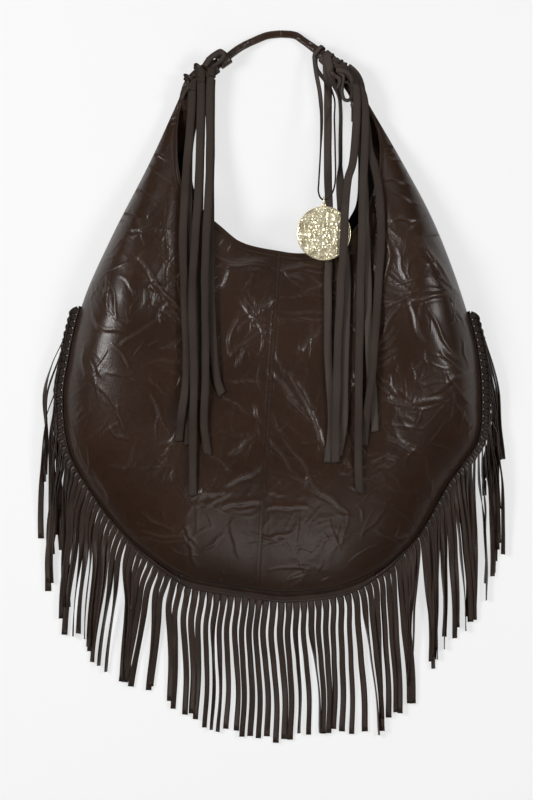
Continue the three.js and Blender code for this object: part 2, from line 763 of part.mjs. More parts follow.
function makeLaceLoop() {
  const share = laceDistance / straps.right.length;
  const { centre, along, across, front } = strapFrame('right', share);
  const half = straps.right.widthAt(share) / 2 + bandClearance + thongThickness / 2;
  const rise = strapThickness / 2 + bandClearance + thongThickness / 2;
  const level = new THREE.Vector3(-1, 0, 0);
  const strapTop = centre.z + rise;
  const leg = ([x, y, height, twist]) => ({
    at: new THREE.Vector3(swingX + x, swingY + y, mix(strapTop, discMiddle, height)),
    wide: level.clone().multiplyScalar(1 - twist).addScaledVector(up, twist),
  });
  const turn = [
    [1, 0.6], [0.75, 1], [-0.75, 1], [-1, 0.6], [-1, -0.6], [-0.75, -1], [0.75, -1], [1, -0.8],
  ].map(([a, f]) => ({
    at: centre.clone().addScaledVector(across, a * half).addScaledVector(front, f * rise),
    wide: along,
  }));
  const bottom = { at: new THREE.Vector3(swingX, swingY, discMiddle), wide: up };
  const knots = [bottom, ...leftLegDrawn.map(leg), ...turn, ...rightLegDrawn.map(leg)];
  const path = new THREE.CatmullRomCurve3(knots.map(({ at }) => at), true, 'centripetal');
  const sections = [];
  knots.forEach(({ wide }, k) => {
    const next = knots[(k + 1) % knots.length];
    const near = knots[k].at.distanceTo(next.at) < 12;
    for (const part of near ? [0] : [0, 0.5]) {
      const t = (k + part) / knots.length;
      const heading = path.getTangent(t);
      const width = wide.clone().lerp(next.wide, part);
      width.addScaledVector(heading, -width.dot(heading)).normalize();
      const thick = new THREE.Vector3().crossVectors(heading, width);
      const corner = (w, h) => path.getPoint(t)
        .addScaledVector(width, w * laceWidth / 2).addScaledVector(thick, h * thongThickness / 2);
      sections.push([corner(1, 1), corner(-1, 1), corner(-1, -1), corner(1, -1)]);
    }
  });
  return sweptBody(sections, true);
}
addPiece('medallion_loop', makeLaceLoop(), thongLeather);

// Fringe: leather bands sewn into the bottom seam and cut into strips. Each row below gives a
// share of the seam's length and how far the tip of a strip there hangs from its root.
const fringeFall = [
  [0, -40, -147], [0.07, -38, -150], [0.115, -36, -155], [0.18, -27, -151], [0.218, -26, -150],
  [0.278, -20, -144], [0.315, -17, -141], [0.355, -18, -132], [0.378, -19, -126],
  [0.386, -8, -136], [0.438, -8, -145], [0.507, 1, -147], [0.579, 5, -143], [0.603, 10, -152],
  [0.607, 15, -156], [0.651, 14, -152], [0.721, 12, -147], [0.786, 16, -157], [0.825, 18, -158],
  [0.86, 22, -150], [0.933, 28, -146], [1, 33, -145],
];
const fringeEnd = edge.length - fringeStart;
const fringeSpan = fringeEnd - fringeStart;
const seamMiddle = (fringeStart + fringeEnd) / 2 + bottomFringeShift;
const partings = [seamMiddle - bottomFringeLength / 2, seamMiddle + bottomFringeLength / 2];

function edgeFrame(arc) {
  const share = arc / edge.length;
  const tangent = edge.whole.getTangentAt(share);
  return {
    point: edge.whole.getPointAt(share),
    tangent,
    outward: new THREE.Vector3(tangent.y, -tangent.x, 0),
  };
}

function fallAt(arc) {
  const share = Math.min(1, Math.max(0, (arc - fringeStart) / fringeSpan));
  let k = 0;
  while (k + 2 < fringeFall.length && fringeFall[k + 1][0] < share) k += 1;
  const [a, b] = [fringeFall[k], fringeFall[k + 1]];
  const t = (share - a[0]) / (b[0] - a[0]);
  const sway = fringeSway * (1 - sideShare(arc)) * Math.sin(arc * 2 * Math.PI / fringeSwayPeriod);
  return new THREE.Vector3(mix(a[1], b[1], t) + sway, mix(a[2], b[2], t), 0);
}

const curtainLength = 150;
const curtainBlend = 90;

// How much a strip hangs beside the bag (1) instead of below it (0).
function sideShare(arc) {
  return smooth((Math.abs(edgeFrame(arc).tangent.y) - 0.25) / 0.5);
}

// Beside the bag the strips hang as a curtain: each clears the ones that start below it.
const nestGap = 1.45;
const bendReach = 4;

function curtainPoint(arc, drop) {
  const { point, outward } = edgeFrame(arc);
  const side = Math.sign(outward.x);
  let reach = 0;
  const measure = (d) => {
    const passed = edgeFrame(arc - side * d);
    const offset = fringeBandAtSide + bendReach * (1 - Math.exp(-d / 4)) + nestGap * d / fringePitch;
    reach = Math.max(reach, side * (passed.point.x + passed.outward.x * offset));
  };
  for (let d = 0; d < drop; d += fringePitch / 2) measure(d);
  measure(drop);
  return new THREE.Vector3(side * reach, point.y + outward.y * fringeBandAtSide - drop, 0);
}

function stripPath(arc) {
  const { point, outward } = edgeFrame(arc);
  const beside = sideShare(arc);
  const band = mix(fringeBandAtBottom, fringeBandAtSide, beside);
  const fall = fallAt(arc);
  const tip = point.clone().add(fall);
  const root = point.clone().addScaledVector(outward, band);
  const guide = root.clone().addScaledVector(outward, mix(24, 9, beside));
  const above = new THREE.Vector3(tip.x - fall.x * 0.3, tip.y + 52, 0);
  const curve = new THREE.CubicBezierCurve3(root, guide, above, tip);
  const fromEnd = Math.min(arc - fringeStart, fringeEnd - arc);
  const curtain = 1 - smooth((fromEnd - curtainLength) / curtainBlend);
  return { arc, curve, beside, curtain, drop: -fall.y };
}

function stripCentre({ arc, curve, beside, curtain, drop }, t) {
  const centre = curve.getPoint(t);
  if (curtain > 0) centre.lerp(curtainPoint(arc, drop * t), curtain);
  const settled = (1 - t) ** mix(2.6, 1.15, beside);
  centre.z = mix(fringeThickness, seamHeight, settled);
  return centre;
}

// Strips that run closer together than their width lie over each other like tiles, so each is
// rolled just far enough to clear the next.
function stripRoll(arc, t, heading) {
  const gap = new THREE.Vector3().subVectors(
    stripCentre(stripPath(arc + fringePitch / 2), t),
    stripCentre(stripPath(arc - fringePitch / 2), t),
  );
  const flat = new THREE.Vector3(heading.x, heading.y, 0);
  const run = flat.length();
  flat.divideScalar(run);
  const pitch = flat.x * gap.y - flat.y * gap.x;
  const rise = gap.z - (heading.z / run) * gap.dot(flat);
  const apart = Math.abs(pitch);
  const climb = Math.abs(rise);
  const need = fringeThickness + 1.5 * fitGap;
  if (apart > fringeStripWidth + fitGap) return 0;
  const reach = Math.hypot(apart, climb);
  const roll = Math.asin(Math.min(1, need / reach)) - Math.atan2(climb, apart);
  const downhill = arc < seamMiddle ? 1 : -1;
  return downhill * Math.sign(pitch || 1) * Math.min(Math.PI / 2, Math.max(0, roll));
}

function stripSection(arc, path, t) {
  const centre = stripCentre(path, t);
  const step = 0.004;
  const heading = new THREE.Vector3().subVectors(
    stripCentre(path, Math.min(1, t + step)), stripCentre(path, Math.max(0, t - step)),
  ).normalize();
  const roll = stripRoll(arc, t, heading);
  const side = new THREE.Vector3().crossVectors(up, heading).normalize();
  const face = new THREE.Vector3().crossVectors(heading, side).normalize();
  const across = side.clone().multiplyScalar(Math.cos(roll)).addScaledVector(face, -Math.sin(roll));
  const out = new THREE.Vector3().crossVectors(heading, across);
  const hang = (fringeStripWidth * Math.abs(across.z) + fringeThickness * Math.abs(out.z)) / 2;
  centre.z = Math.max(centre.z, hang + 0.2);
  const corner = (a, o) => centre.clone()
    .addScaledVector(across, a * fringeStripWidth / 2).addScaledVector(out, o * fringeThickness / 2);
  return [corner(-1, 1), corner(1, 1), corner(1, -1), corner(-1, -1)];
}

const bottomStations = [0.2, 0.5, 1];
const sideStations = [0.1, 0.26, 0.5, 0.75, 1];

function makeFringe(startArc, endArc, first) {
  const count = Math.round((endArc - startArc) / fringePitch);
  const pitch = (endArc - startArc) / count;
  const points = [];
  const triangles = [];
  const quad = (a, b, c, d) => triangles.push([a, b, c], [a, c, d]);
  const add = (point, z) => {
    points.push(new THREE.Vector3(point.x, point.y, z));
    return points.length - 1;
  };
  const topZ = seamHeight + fringeThickness / 2;
  const lowZ = seamHeight - fringeThickness / 2;
  const tucked = [];
  for (let i = 0; i <= count; i += 1) {
    let arc = startArc + i * pitch;
    if (i === 0) arc += fitGap / 2;
    if (i === count) arc -= fitGap / 2;
    const { point, outward } = edgeFrame(arc);
    const inside = point.clone().addScaledVector(outward, -fringeTuck);
    tucked.push({ top: add(inside, topZ), low: add(inside, lowZ) });
  }
  const strips = [];
  for (let i = 0; i < count; i += 1) {
    const arc = startArc + (i + 0.5) * pitch;
    const path = stripPath(arc);
    const { point, outward, tangent } = edgeFrame(arc);
    const root = point.clone()
      .addScaledVector(outward, mix(fringeBandAtBottom, fringeBandAtSide, path.beside));
    const half = fringeStripWidth / 2;
    const from = root.clone().addScaledVector(tangent, -half);
    const to = root.clone().addScaledVector(tangent, half);
    let ring = [add(from, topZ), add(to, topZ), add(to, lowZ), add(from, lowZ)];
    strips.push(ring);
    const stations = path.beside > 0.05 ? sideStations : bottomStations;
    for (const t of stations) {
      const shorter = 1 - 0.05 * scatter(first + i) * t;
      const section = stripSection(arc, path, t * shorter);
      const flip = section[1].clone().sub(section[0]).dot(tangent) < 0 && path.beside < 0.05;
      const order = flip ? [1, 0, 3, 2] : [0, 1, 2, 3];
      const next = order.map((k) => points.push(section[k]) - 1);
      for (let k = 0; k < 4; k += 1) {
        const l = (k + 1) % 4;
        if (arc < seamMiddle) quad(ring[k], next[k], next[l], ring[l]);
        else quad(next[k], next[l], ring[l], ring[k]);
      }
      ring = next;
    }
    quad(ring[0], ring[3], ring[2], ring[1]);
  }
  strips.forEach(([fromTop, toTop, toLow, fromLow], i) => {
    const [a, b] = [tucked[i], tucked[i + 1]];
    quad(a.top, fromTop, toTop, b.top);
    quad(a.low, b.low, toLow, fromLow);
    quad(a.top, b.top, b.low, a.low);
    if (i + 1 < count) {
      const [nextTop, , , nextLow] = strips[i + 1];
      triangles.push([b.top, toTop, nextTop], [b.low, nextLow, toLow]);
      quad(toTop, toLow, nextLow, nextTop);
    }
  });
  const [firstStrip, lastStrip] = [strips[0], strips[count - 1]];
  quad(tucked[0].top, tucked[0].low, firstStrip[3], firstStrip[0]);
  quad(tucked[count].top, lastStrip[1], lastStrip[2], tucked[count].low);
  return closedBody(points, triangles);
}

addPiece('fringe_left', makeFringe(fringeStart, partings[0], 0), leather);
addPiece('fringe_bottom', makeFringe(partings[0], partings[1], 100), leather);
addPiece('fringe_right', makeFringe(partings[1], fringeEnd, 200), leather);

export default bag;
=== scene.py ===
import math
import random

import bpy
import numpy as np
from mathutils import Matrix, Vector
from mathutils.bvhtree import BVHTree


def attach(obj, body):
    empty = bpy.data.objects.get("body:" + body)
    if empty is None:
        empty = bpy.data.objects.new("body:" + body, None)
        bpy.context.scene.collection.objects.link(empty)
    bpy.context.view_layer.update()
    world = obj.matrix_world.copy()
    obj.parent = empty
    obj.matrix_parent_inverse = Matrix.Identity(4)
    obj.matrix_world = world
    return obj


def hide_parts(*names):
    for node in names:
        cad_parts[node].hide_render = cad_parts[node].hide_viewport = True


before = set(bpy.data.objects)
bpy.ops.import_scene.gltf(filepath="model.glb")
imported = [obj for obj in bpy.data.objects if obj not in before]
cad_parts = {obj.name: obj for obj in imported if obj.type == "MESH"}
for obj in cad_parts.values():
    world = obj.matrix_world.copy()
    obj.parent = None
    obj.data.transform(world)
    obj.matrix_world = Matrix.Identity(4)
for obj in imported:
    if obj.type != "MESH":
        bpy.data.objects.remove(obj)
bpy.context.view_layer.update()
print("frame loaded")

# All shapes below are in millimetres in the part's frame, and become metres in makePiece.
# "view" places are millimetres from the top left corner of the picture that the camera takes.
viewToPart = {"x": 272.0, "y": 424.0}


def fromView(points):
    return [(px - viewToPart["x"], viewToPart["y"] - py) for px, py in points]


def smooth(t):
    t = np.clip(t, 0.0, 1.0)
    return t * t * (3 - 2 * t)


def mix(a, b, t):
    return a + (b - a) * t


def unit(v):
    return v / np.maximum(np.linalg.norm(v, axis=-1, keepdims=True), 1e-9)


# A curve through points, close to evenly tight however far apart the points are.
def curveThrough(points, steps=24, closed=False):
    p = np.array(points, float)
    if closed:
        p = np.vstack([p[-1], p, p[0], p[1]])
    else:
        p = np.vstack([2 * p[0] - p[1], p, 2 * p[-1] - p[-2]])
    t = np.linspace(0, 1, steps, endpoint=False)[:, None]
    out = []
    for i in range(1, len(p) - 2):
        a, b, c, d = p[i - 1], p[i], p[i + 1], p[i + 2]
        k0, k1, k2 = (max(np.linalg.norm(v) ** 0.5, 1e-4) for v in (b - a, c - b, d - c))
        m1 = ((b - a) / k0 - (c - a) / (k0 + k1) + (c - b) / k1) * k1
        m2 = ((c - b) / k1 - (d - b) / (k1 + k2) + (d - c) / k2) * k1
        out.append(b + m1 * t + (3 * (c - b) - 2 * m1 - m2) * t**2
                   + (2 * (b - c) + m1 + m2) * t**3)
    out.append(p[-2][None, :])
    return np.vstack(out)


# Reads a line of points by the share of its length.
class Line:
    def __init__(self, points):
        self.points = np.array(points, float)
        steps = np.linalg.norm(np.diff(self.points, axis=0), axis=1)
        self.arc = np.concatenate([[0], np.cumsum(steps)])
        self.length = self.arc[-1]

    def at(self, share):
        s = np.clip(np.asarray(share, float), 0, 1) * self.length
        return np.stack([np.interp(s, self.arc, self.points[:, k])
                         for k in range(self.points.shape[1])], axis=-1)

    def heading(self, share, step=0.002):
        share = np.asarray(share, float)
        return unit(self.at(share + step) - self.at(share - step))


# Smooth noise from -1 to 1 over a plane, the same on each run.
def fieldNoise(x, y, size, seed):
    lattice = np.random.RandomState(seed).uniform(0, 2 * math.pi, (64, 64))
    gx, gy = np.cos(lattice), np.sin(lattice)
    u, v = np.asarray(x) / size + 31.7, np.asarray(y) / size + 17.3
    i, j = np.floor(u).astype(int), np.floor(v).astype(int)
    fu, fv = u - i, v - j
    wu, wv = smooth(fu), smooth(fv)

    def corner(di, dj):
        a, b = (i + di) % 64, (j + dj) % 64
        return gx[a, b] * (fu - di) + gy[a, b] * (fv - dj)

    low = mix(corner(0, 0), corner(1, 0), wu)
    high = mix(corner(0, 1), corner(1, 1), wu)
    return mix(low, high, wv) * 1.4


def makePiece(name, parts, material, body="bag", replaced=()):
    vertices, faces, wearAndPaintedLight = [], [], []
    base = 0
    for part in parts:
        points = np.asarray(part["points"], float)
        vertices.append(points)
        wearAndPaintedLight.append(np.broadcast_to(part.get("wearAndPaintedLight", 0.0), len(points)))
        faces.extend([tuple(base + k for k in face) for face in part["faces"]])
        base += len(points)
    points = np.vstack(vertices)
    mesh = bpy.data.meshes.new(name)
    mesh.from_pydata((points * 0.001).tolist(), [], faces)
    mesh.attributes.new("wearAndPaintedLight", "FLOAT", "POINT")
    mesh.attributes["wearAndPaintedLight"].data.foreach_set("value", np.concatenate(wearAndPaintedLight).astype(np.float32))
    mesh.validate()
    mesh.shade_smooth()
    mesh.materials.append(material)
    piece = bpy.data.objects.new(name, mesh)
    bpy.context.scene.collection.objects.link(piece)
    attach(piece, body)
    if replaced:
        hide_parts(*replaced)
    return piece


def gridFaces(rows, columns, loop=False, flip=False):
    faces = []
    last = columns if loop else columns - 1
    for r in range(rows - 1):
        for c in range(last):
            d = (c + 1) % columns
            quad = (r * columns + c, r * columns + d, (r + 1) * columns + d, (r + 1) * columns + c)
            faces.append(quad[::-1] if flip else quad)
    return faces


# A strip of leather with soft corners along a centre line. "across" points along its width.
def ribbon(centres, across, width, thickness, corner=0.32, closed=False):
    centres, across = np.asarray(centres, float), unit(np.asarray(across, float))
    count = len(centres)
    if closed:
        heading = unit(np.roll(centres, -1, 0) - np.roll(centres, 1, 0))
    else:
        heading = unit(np.gradient(centres, axis=0))
    across = unit(across - heading * np.sum(across * heading, axis=1, keepdims=True))
    out = np.cross(heading, across)
    half = np.broadcast_to(np.asarray(width, float) / 2, count)[:, None]
    rise = np.broadcast_to(np.asarray(thickness, float) / 2, count)[:, None]
    cut = np.minimum(corner, rise * 0.9)
    ring = [
        (half, rise - cut), (half - cut, rise), (half * 0.34, rise * 1.04), (-half * 0.34, rise * 1.04),
        (cut - half, rise), (-half, rise - cut), (-half, cut - rise), (cut - half, -rise),
        (-half * 0.34, -rise), (half * 0.34, -rise), (half - cut, -rise), (half, cut - rise),
    ]
    size = len(ring)
    points = np.stack([centres + across * a + out * o for a, o in ring], axis=1).reshape(-1, 3)
    # Faces take more of the lighter colour than the edges, so the edges come out darker: painted shade along the
    # strip's sides, over the raw cut edge's own darker tone.
    paintedEdgeShade = np.array([0.0, 0.35, 1, 1, 0.35, 0.0, 0.0, 0.3, 0.8, 0.8, 0.3, 0.0])
    faces = gridFaces(count, size, loop=True)
    if closed:
        end = (count - 1) * size
        faces += [(end + k, end + (k + 1) % size, (k + 1) % size, k) for k in range(size)]
    else:
        faces += [tuple(range(size - 1, -1, -1)), tuple((count - 1) * size + k for k in range(size))]
    return {"points": points, "faces": faces, "wearAndPaintedLight": np.tile(paintedEdgeShade, count)}


# Materials
def node(tree, kind, **values):
    n = tree.nodes.new(kind)
    for key, value in values.items():
        if hasattr(n, key):
            setattr(n, key, value)
        else:
            n.inputs[key.replace("_", " ")].default_value = value
    return n


# A colour mix. Each colour is either given in linear values or linked afterwards.
def colourMix(tree, low=None, high=None):
    blend = node(tree, "ShaderNodeMix", data_type="RGBA")
    for socket, colour in ((blend.inputs[6], low), (blend.inputs[7], high)):
        if colour:
            socket.default_value = (*colour, 1)
    return blend.inputs[0], blend.inputs[6], blend.outputs[2]


# Leather grain: a fine pebble with pores, and slow drifts of tone.
def makeLeatherGrain():
    group = bpy.data.node_groups.new("leatherGrain", "ShaderNodeTree")
    for name, value in (("Pebble Scale", 900.0), ("Drift Scale", 14.0)):
        socket = group.interface.new_socket(name, in_out="INPUT", socket_type="NodeSocketFloat")
        socket.default_value = value
    for name in ("Height", "Drift", "Speckle"):
        group.interface.new_socket(name, in_out="OUTPUT", socket_type="NodeSocketFloat")
    inputs, outputs = group.nodes.new("NodeGroupInput"), group.nodes.new("NodeGroupOutput")
    place = node(group, "ShaderNodeTexCoord")
    pebble = node(group, "ShaderNodeTexVoronoi", feature="SMOOTH_F1", Smoothness=0.6)
    pores = node(group, "ShaderNodeTexNoise", Detail=4.0, Roughness=0.65)
    drift = node(group, "ShaderNodeTexNoise", Detail=3.0, Roughness=0.55)
    speckle = node(group, "ShaderNodeTexNoise", Scale=260.0, Detail=5.0, Roughness=0.7)
    blendIn = node(group, "ShaderNodeMath", operation="MULTIPLY_ADD")
    for texture in (pebble, pores, drift, speckle):
        group.links.new(place.outputs["Object"], texture.inputs["Vector"])
    group.links.new(inputs.outputs["Pebble Scale"], pebble.inputs["Scale"])
    group.links.new(inputs.outputs["Pebble Scale"], pores.inputs["Scale"])
    group.links.new(inputs.outputs["Drift Scale"], drift.inputs["Scale"])
    group.links.new(pores.outputs["Fac"], blendIn.inputs[0])
    blendIn.inputs[1].default_value = 0.6
    group.links.new(pebble.outputs["Distance"], blendIn.inputs[2])
    group.links.new(blendIn.outputs[0], outputs.inputs["Height"])
    group.links.new(drift.outputs["Fac"], outputs.inputs["Drift"])
    group.links.new(speckle.outputs["Fac"], outputs.inputs["Speckle"])
    return group


leatherGrain = makeLeatherGrain()


def startMaterial(name):
    material = bpy.data.materials.new(name)
    material.use_nodes = True
    tree = material.node_tree
    return material, tree, tree.nodes["Principled BSDF"]


# A leather with tone drift and grain. A per-point share mixes in a lighter colour: painted highlight on crease
# crests, faces lighter than their painted-shade edges, and rub wear. Colours are linear.
def makeLeather(name, look):
    material, tree, shader = startMaterial(name)
    grain = tree.nodes.new("ShaderNodeGroup")
    grain.node_tree = leatherGrain
    grain.inputs["Pebble Scale"].default_value = look["pebbleScale"]
    grain.inputs["Drift Scale"].default_value = look["driftScale"]
    tone = node(tree, "ShaderNodeMapRange", From_Min=0.3, From_Max=0.7)
    tree.links.new(grain.outputs["Drift"], tone.inputs["Value"])
    driftShare, _, drifted = colourMix(tree, look["dark"], look["light"])
    tree.links.new(tone.outputs["Result"], driftShare)
    wearAndPaintedLight = node(tree, "ShaderNodeAttribute", attribute_name="wearAndPaintedLight")
    wearAndPaintedLightShare = node(tree, "ShaderNodeMath", operation="MULTIPLY")
    wearAndPaintedLightShare.inputs[1].default_value = look["wearAndPaintedLightShare"]
    tree.links.new(wearAndPaintedLight.outputs["Fac"], wearAndPaintedLightShare.inputs[0])
    wornAndLitShare, beforeWearAndLight, colour = colourMix(tree, None, look["wornAndLit"])
    tree.links.new(wearAndPaintedLightShare.outputs[0], wornAndLitShare)
    tree.links.new(drifted, beforeWearAndLight)
    tree.links.new(colour, shader.inputs["Base Color"])
    rough = node(tree, "ShaderNodeMapRange", From_Min=0.3, From_Max=0.7,
                 To_Min=look["roughness"][0], To_Max=look["roughness"][1])
    tree.links.new(grain.outputs["Speckle"], rough.inputs["Value"])
    tree.links.new(rough.outputs["Result"], shader.inputs["Roughness"])
    bump = node(tree, "ShaderNodeBump", Strength=look["grainStrength"], Distance=look["grainDepth"])
    tree.links.new(grain.outputs["Height"], bump.inputs["Height"])
    tree.links.new(bump.outputs["Normal"], shader.inputs["Normal"])
    shader.inputs["Specular IOR Level"].default_value = look["specular"]
    shader.inputs["Coat Weight"].default_value = look["coat"]
    shader.inputs["Coat Roughness"].default_value = look["coatRoughness"]
    return material


bodyLeather = makeLeather("bodyLeather", {
    "dark": (0.0195, 0.0092, 0.0052), "light": (0.029, 0.0145, 0.0088), "wornAndLit": (0.066, 0.045, 0.036),
    "wearAndPaintedLightShare": 0.6, "roughness": (0.27, 0.37), "specular": 0.26, "coat": 0.06,
    "coatRoughness": 0.2, "pebbleScale": 900.0, "driftScale": 16.0, "grainStrength": 0.25,
    "grainDepth": 0.0003,
})
# The fringe is the body's leather given a darker colour: its own dark brown, deepened as painted shade of the
# crowded, edge-on strips.
fringeLeather = makeLeather("fringeLeather", {
    "dark": (0.0105, 0.0054, 0.0034), "light": (0.0235, 0.0122, 0.0076), "wornAndLit": (0.03, 0.0165, 0.011),
    "wearAndPaintedLightShare": 0.5, "roughness": (0.36, 0.5), "specular": 0.28, "coat": 0.06,
    "coatRoughness": 0.3, "pebbleScale": 900.0, "driftScale": 55.0, "grainStrength": 0.25,
    "grainDepth": 0.0003,
})
thongLeather = makeLeather("thongLeather", {
    "dark": (0.021, 0.0132, 0.0098), "light": (0.031, 0.0215, 0.0168), "wornAndLit": (0.066, 0.053, 0.046),
    "wearAndPaintedLightShare": 0.8, "roughness": (0.6, 0.78), "specular": 0.1, "coat": 0.0,
    "coatRoughness": 0.3, "pebbleScale": 1300.0, "driftScale": 26.0, "grainStrength": 0.35,
    "grainDepth": 0.0003,
})


def makeLining():
    material, tree, shader = startMaterial("liningCloth")
    place = node(tree, "ShaderNodeTexCoord")
    weave = node(tree, "ShaderNodeTexWave", Scale=1400.0, Distortion=1.0)
    tree.links.new(place.outputs["Object"], weave.inputs["Vector"])
    share, _, colour = colourMix(tree, (0.0022, 0.0016, 0.0012), (0.0042, 0.003, 0.0023))
    tree.links.new(weave.outputs["Fac"], share)
    tree.links.new(colour, shader.inputs["Base Color"])
    bump = node(tree, "ShaderNodeBump", Strength=0.2, Distance=0.0002)
    tree.links.new(weave.outputs["Fac"], bump.inputs["Height"])
    tree.links.new(bump.outputs["Normal"], shader.inputs["Normal"])
    shader.inputs["Roughness"].default_value = 0.9
    shader.inputs["Specular IOR Level"].default_value = 0.12
    return material


liningCloth = makeLining()


def makeThread():
    material, tree, shader = startMaterial("stitchThread")
    place = node(tree, "ShaderNodeTexCoord")
    fray = node(tree, "ShaderNodeTexNoise", Scale=1500.0, Detail=3.0)
    tree.links.new(place.outputs["Object"], fray.inputs["Vector"])
    share, _, colour = colourMix(tree, (0.012, 0.0068, 0.0044), (0.03, 0.019, 0.0135))
    tree.links.new(fray.outputs["Fac"], share)
    tree.links.new(colour, shader.inputs["Base Color"])
    shader.inputs["Roughness"].default_value = 0.8
    shader.inputs["Specular IOR Level"].default_value = 0.15
    return material


stitchThread = makeThread()


def makePaleGold():
    material, tree, shader = startMaterial("paleGold")
    place = node(tree, "ShaderNodeTexCoord")
    tarnish = node(tree, "ShaderNodeTexNoise", Scale=120.0, Detail=4.0, Roughness=0.6)
    tree.links.new(place.outputs["Object"], tarnish.inputs["Vector"])
    share, _, colour = colourMix(tree, (0.93, 0.79, 0.46), (0.98, 0.92, 0.72))
    tree.links.new(tarnish.outputs["Fac"], share)
    tree.links.new(colour, shader.inputs["Base Color"])
    rough = node(tree, "ShaderNodeMapRange", From_Min=0.3, From_Max=0.7, To_Min=0.24, To_Max=0.4)
    tree.links.new(tarnish.outputs["Fac"], rough.inputs["Value"])
    tree.links.new(rough.outputs["Result"], shader.inputs["Roughness"])
    shader.inputs["Metallic"].default_value = 0.85
    return material


paleGold = makePaleGold()
print("materials made")

# Body: the outlines are drawn in hundredths of half the width and of the height, from the left
# shoulder tip round the bottom to the right one, and the mouth in hundredths of its own size.
body = {
    "width": 417.0, "height": 496.0, "thickness": 60.0, "mouthWidth": 203.0, "mouthDepth": 157.0,
    "mouthShift": 6.5, "mouthHeight": 34.0, "shoulderStep": 6.0, "leather": 1.4, "lining": 0.8,
    "seamHeight": 13.0, "backCurl": 55.0, "puffReach": 260.0, "frontTipWidth": 3.5,
    "leftFoot": 27.0, "rightFoot": 17.5, "fringeStart": 231.0, "fringeThickness": 0.9,
    "outline": [
        (-44.4, 0), (-59, 13.3), (-76.7, 27.8), (-90.6, 41.1), (-97.4, 53.2), (-99.7, 60.9),
        (-96.4, 71.6), (-82.9, 81.5), (-65.7, 89.9), (-43.6, 96.2), (-21.6, 98.3), (-7, 99.2),
        (5.8, 99.8), (34, 98.4), (53.7, 94.5), (68.1, 89), (83.9, 77.8), (98.3, 68.8), (100, 62.9),
        (98.1, 50.8), (90.2, 38.7), (77.2, 24.6), (60.9, 11.7),
    ],
    "outlineSeam": 11, "rightTip": 46.3,
    "mouth": [
        (-98.5, 12), (-100, 26.8), (-96.5, 52.2), (-82.3, 68.2), (-58.6, 82.8), (-36, 93),
        (0.5, 98.5), (21.2, 100), (45.8, 98), (65.5, 91), (78.3, 81.5), (87.2, 72), (98, 49),
        (100, 33), (97, 20),
    ],
    "backMouth": [
        (-80, 15), (-85, 33), (-85, 55), (-75, 71), (-57, 82), (-35, 93),
        (0.5, 100.5), (21.2, 102), (45, 99), (61, 89), (69.5, 78), (76.8, 68.5), (79.3, 46),
        (77.3, 22),
    ],
    "mouthSeam": 7,
}
shoulderY = (body["height"] + body["mouthDepth"]) / 2
rightShoulderY = shoulderY - body["shoulderStep"]
outline = [(x * body["width"] / 200, shoulderY - y * body["height"] / 100)
           for x, y in body["outline"]]
outline.append((body["rightTip"] * body["width"] / 200, rightShoulderY))
leftTipX, rightTipX = outline[0][0], outline[-1][0]


def mouthPoints(drawn, leftInset, rightInset):
    points = [(body["mouthShift"] + x * body["mouthWidth"] / 200,
               shoulderY - y * body["mouthDepth"] / 100) for x, y in drawn]
    return [(leftTipX + leftInset, shoulderY), *points, (rightTipX - rightInset, rightShoulderY)]


# A line from shoulder to shoulder that is read from either shoulder (0) to the centre seam (1).
class SeamedLine:
    def __init__(self, points, seamPoint):
        self.line = Line(curveThrough(points))
        self.seamShare = Line(curveThrough(points[:seamPoint + 1])).length / self.line.length

    def share(self, side, u):
        return u * self.seamShare if side == "left" else 1 - u * (1 - self.seamShare)

    def at(self, side, u):
        return self.line.at(self.share(side, u))

    def arcFromTip(self, side, u):
        part = self.seamShare if side == "left" else 1 - self.seamShare
        return self.line.length * u * part


edge = SeamedLine(outline, body["outlineSeam"])
mouths = {
    "front": SeamedLine(mouthPoints(body["mouth"], body["frontTipWidth"], body["frontTipWidth"]),
                        body["mouthSeam"]),
    "back": SeamedLine(mouthPoints(body["backMouth"], body["leftFoot"], body["rightFoot"]),
                       body["mouthSeam"]),
}


def seamOpening(side, u):
    beforeFringe = body["fringeStart"] - edge.arcFromTip(side, u)
    return mix(body["fringeThickness"] + 0.6, 0.3, smooth((beforeFringe - 4) / 30))


def frontTop(side, u, v, reach):
    seamTop = body["seamHeight"] + seamOpening(side, u) / 2 + body["leather"]
    lift = (body["mouthHeight"] - seamTop) * smooth(reach / 200)
    puff = (body["thickness"] - seamTop - 0.27 * lift) * smooth(reach / body["puffReach"])
    return seamTop + puff * np.sin(math.pi * v**0.75) + lift * v**1.5


def backTop(side, u, v, reach):
    seamTop = body["seamHeight"] - seamOpening(side, u) / 2
    settle = smooth((reach - 25) / 110) * smooth(v * reach / body["backCurl"])
    return mix(seamTop, body["leather"], settle)


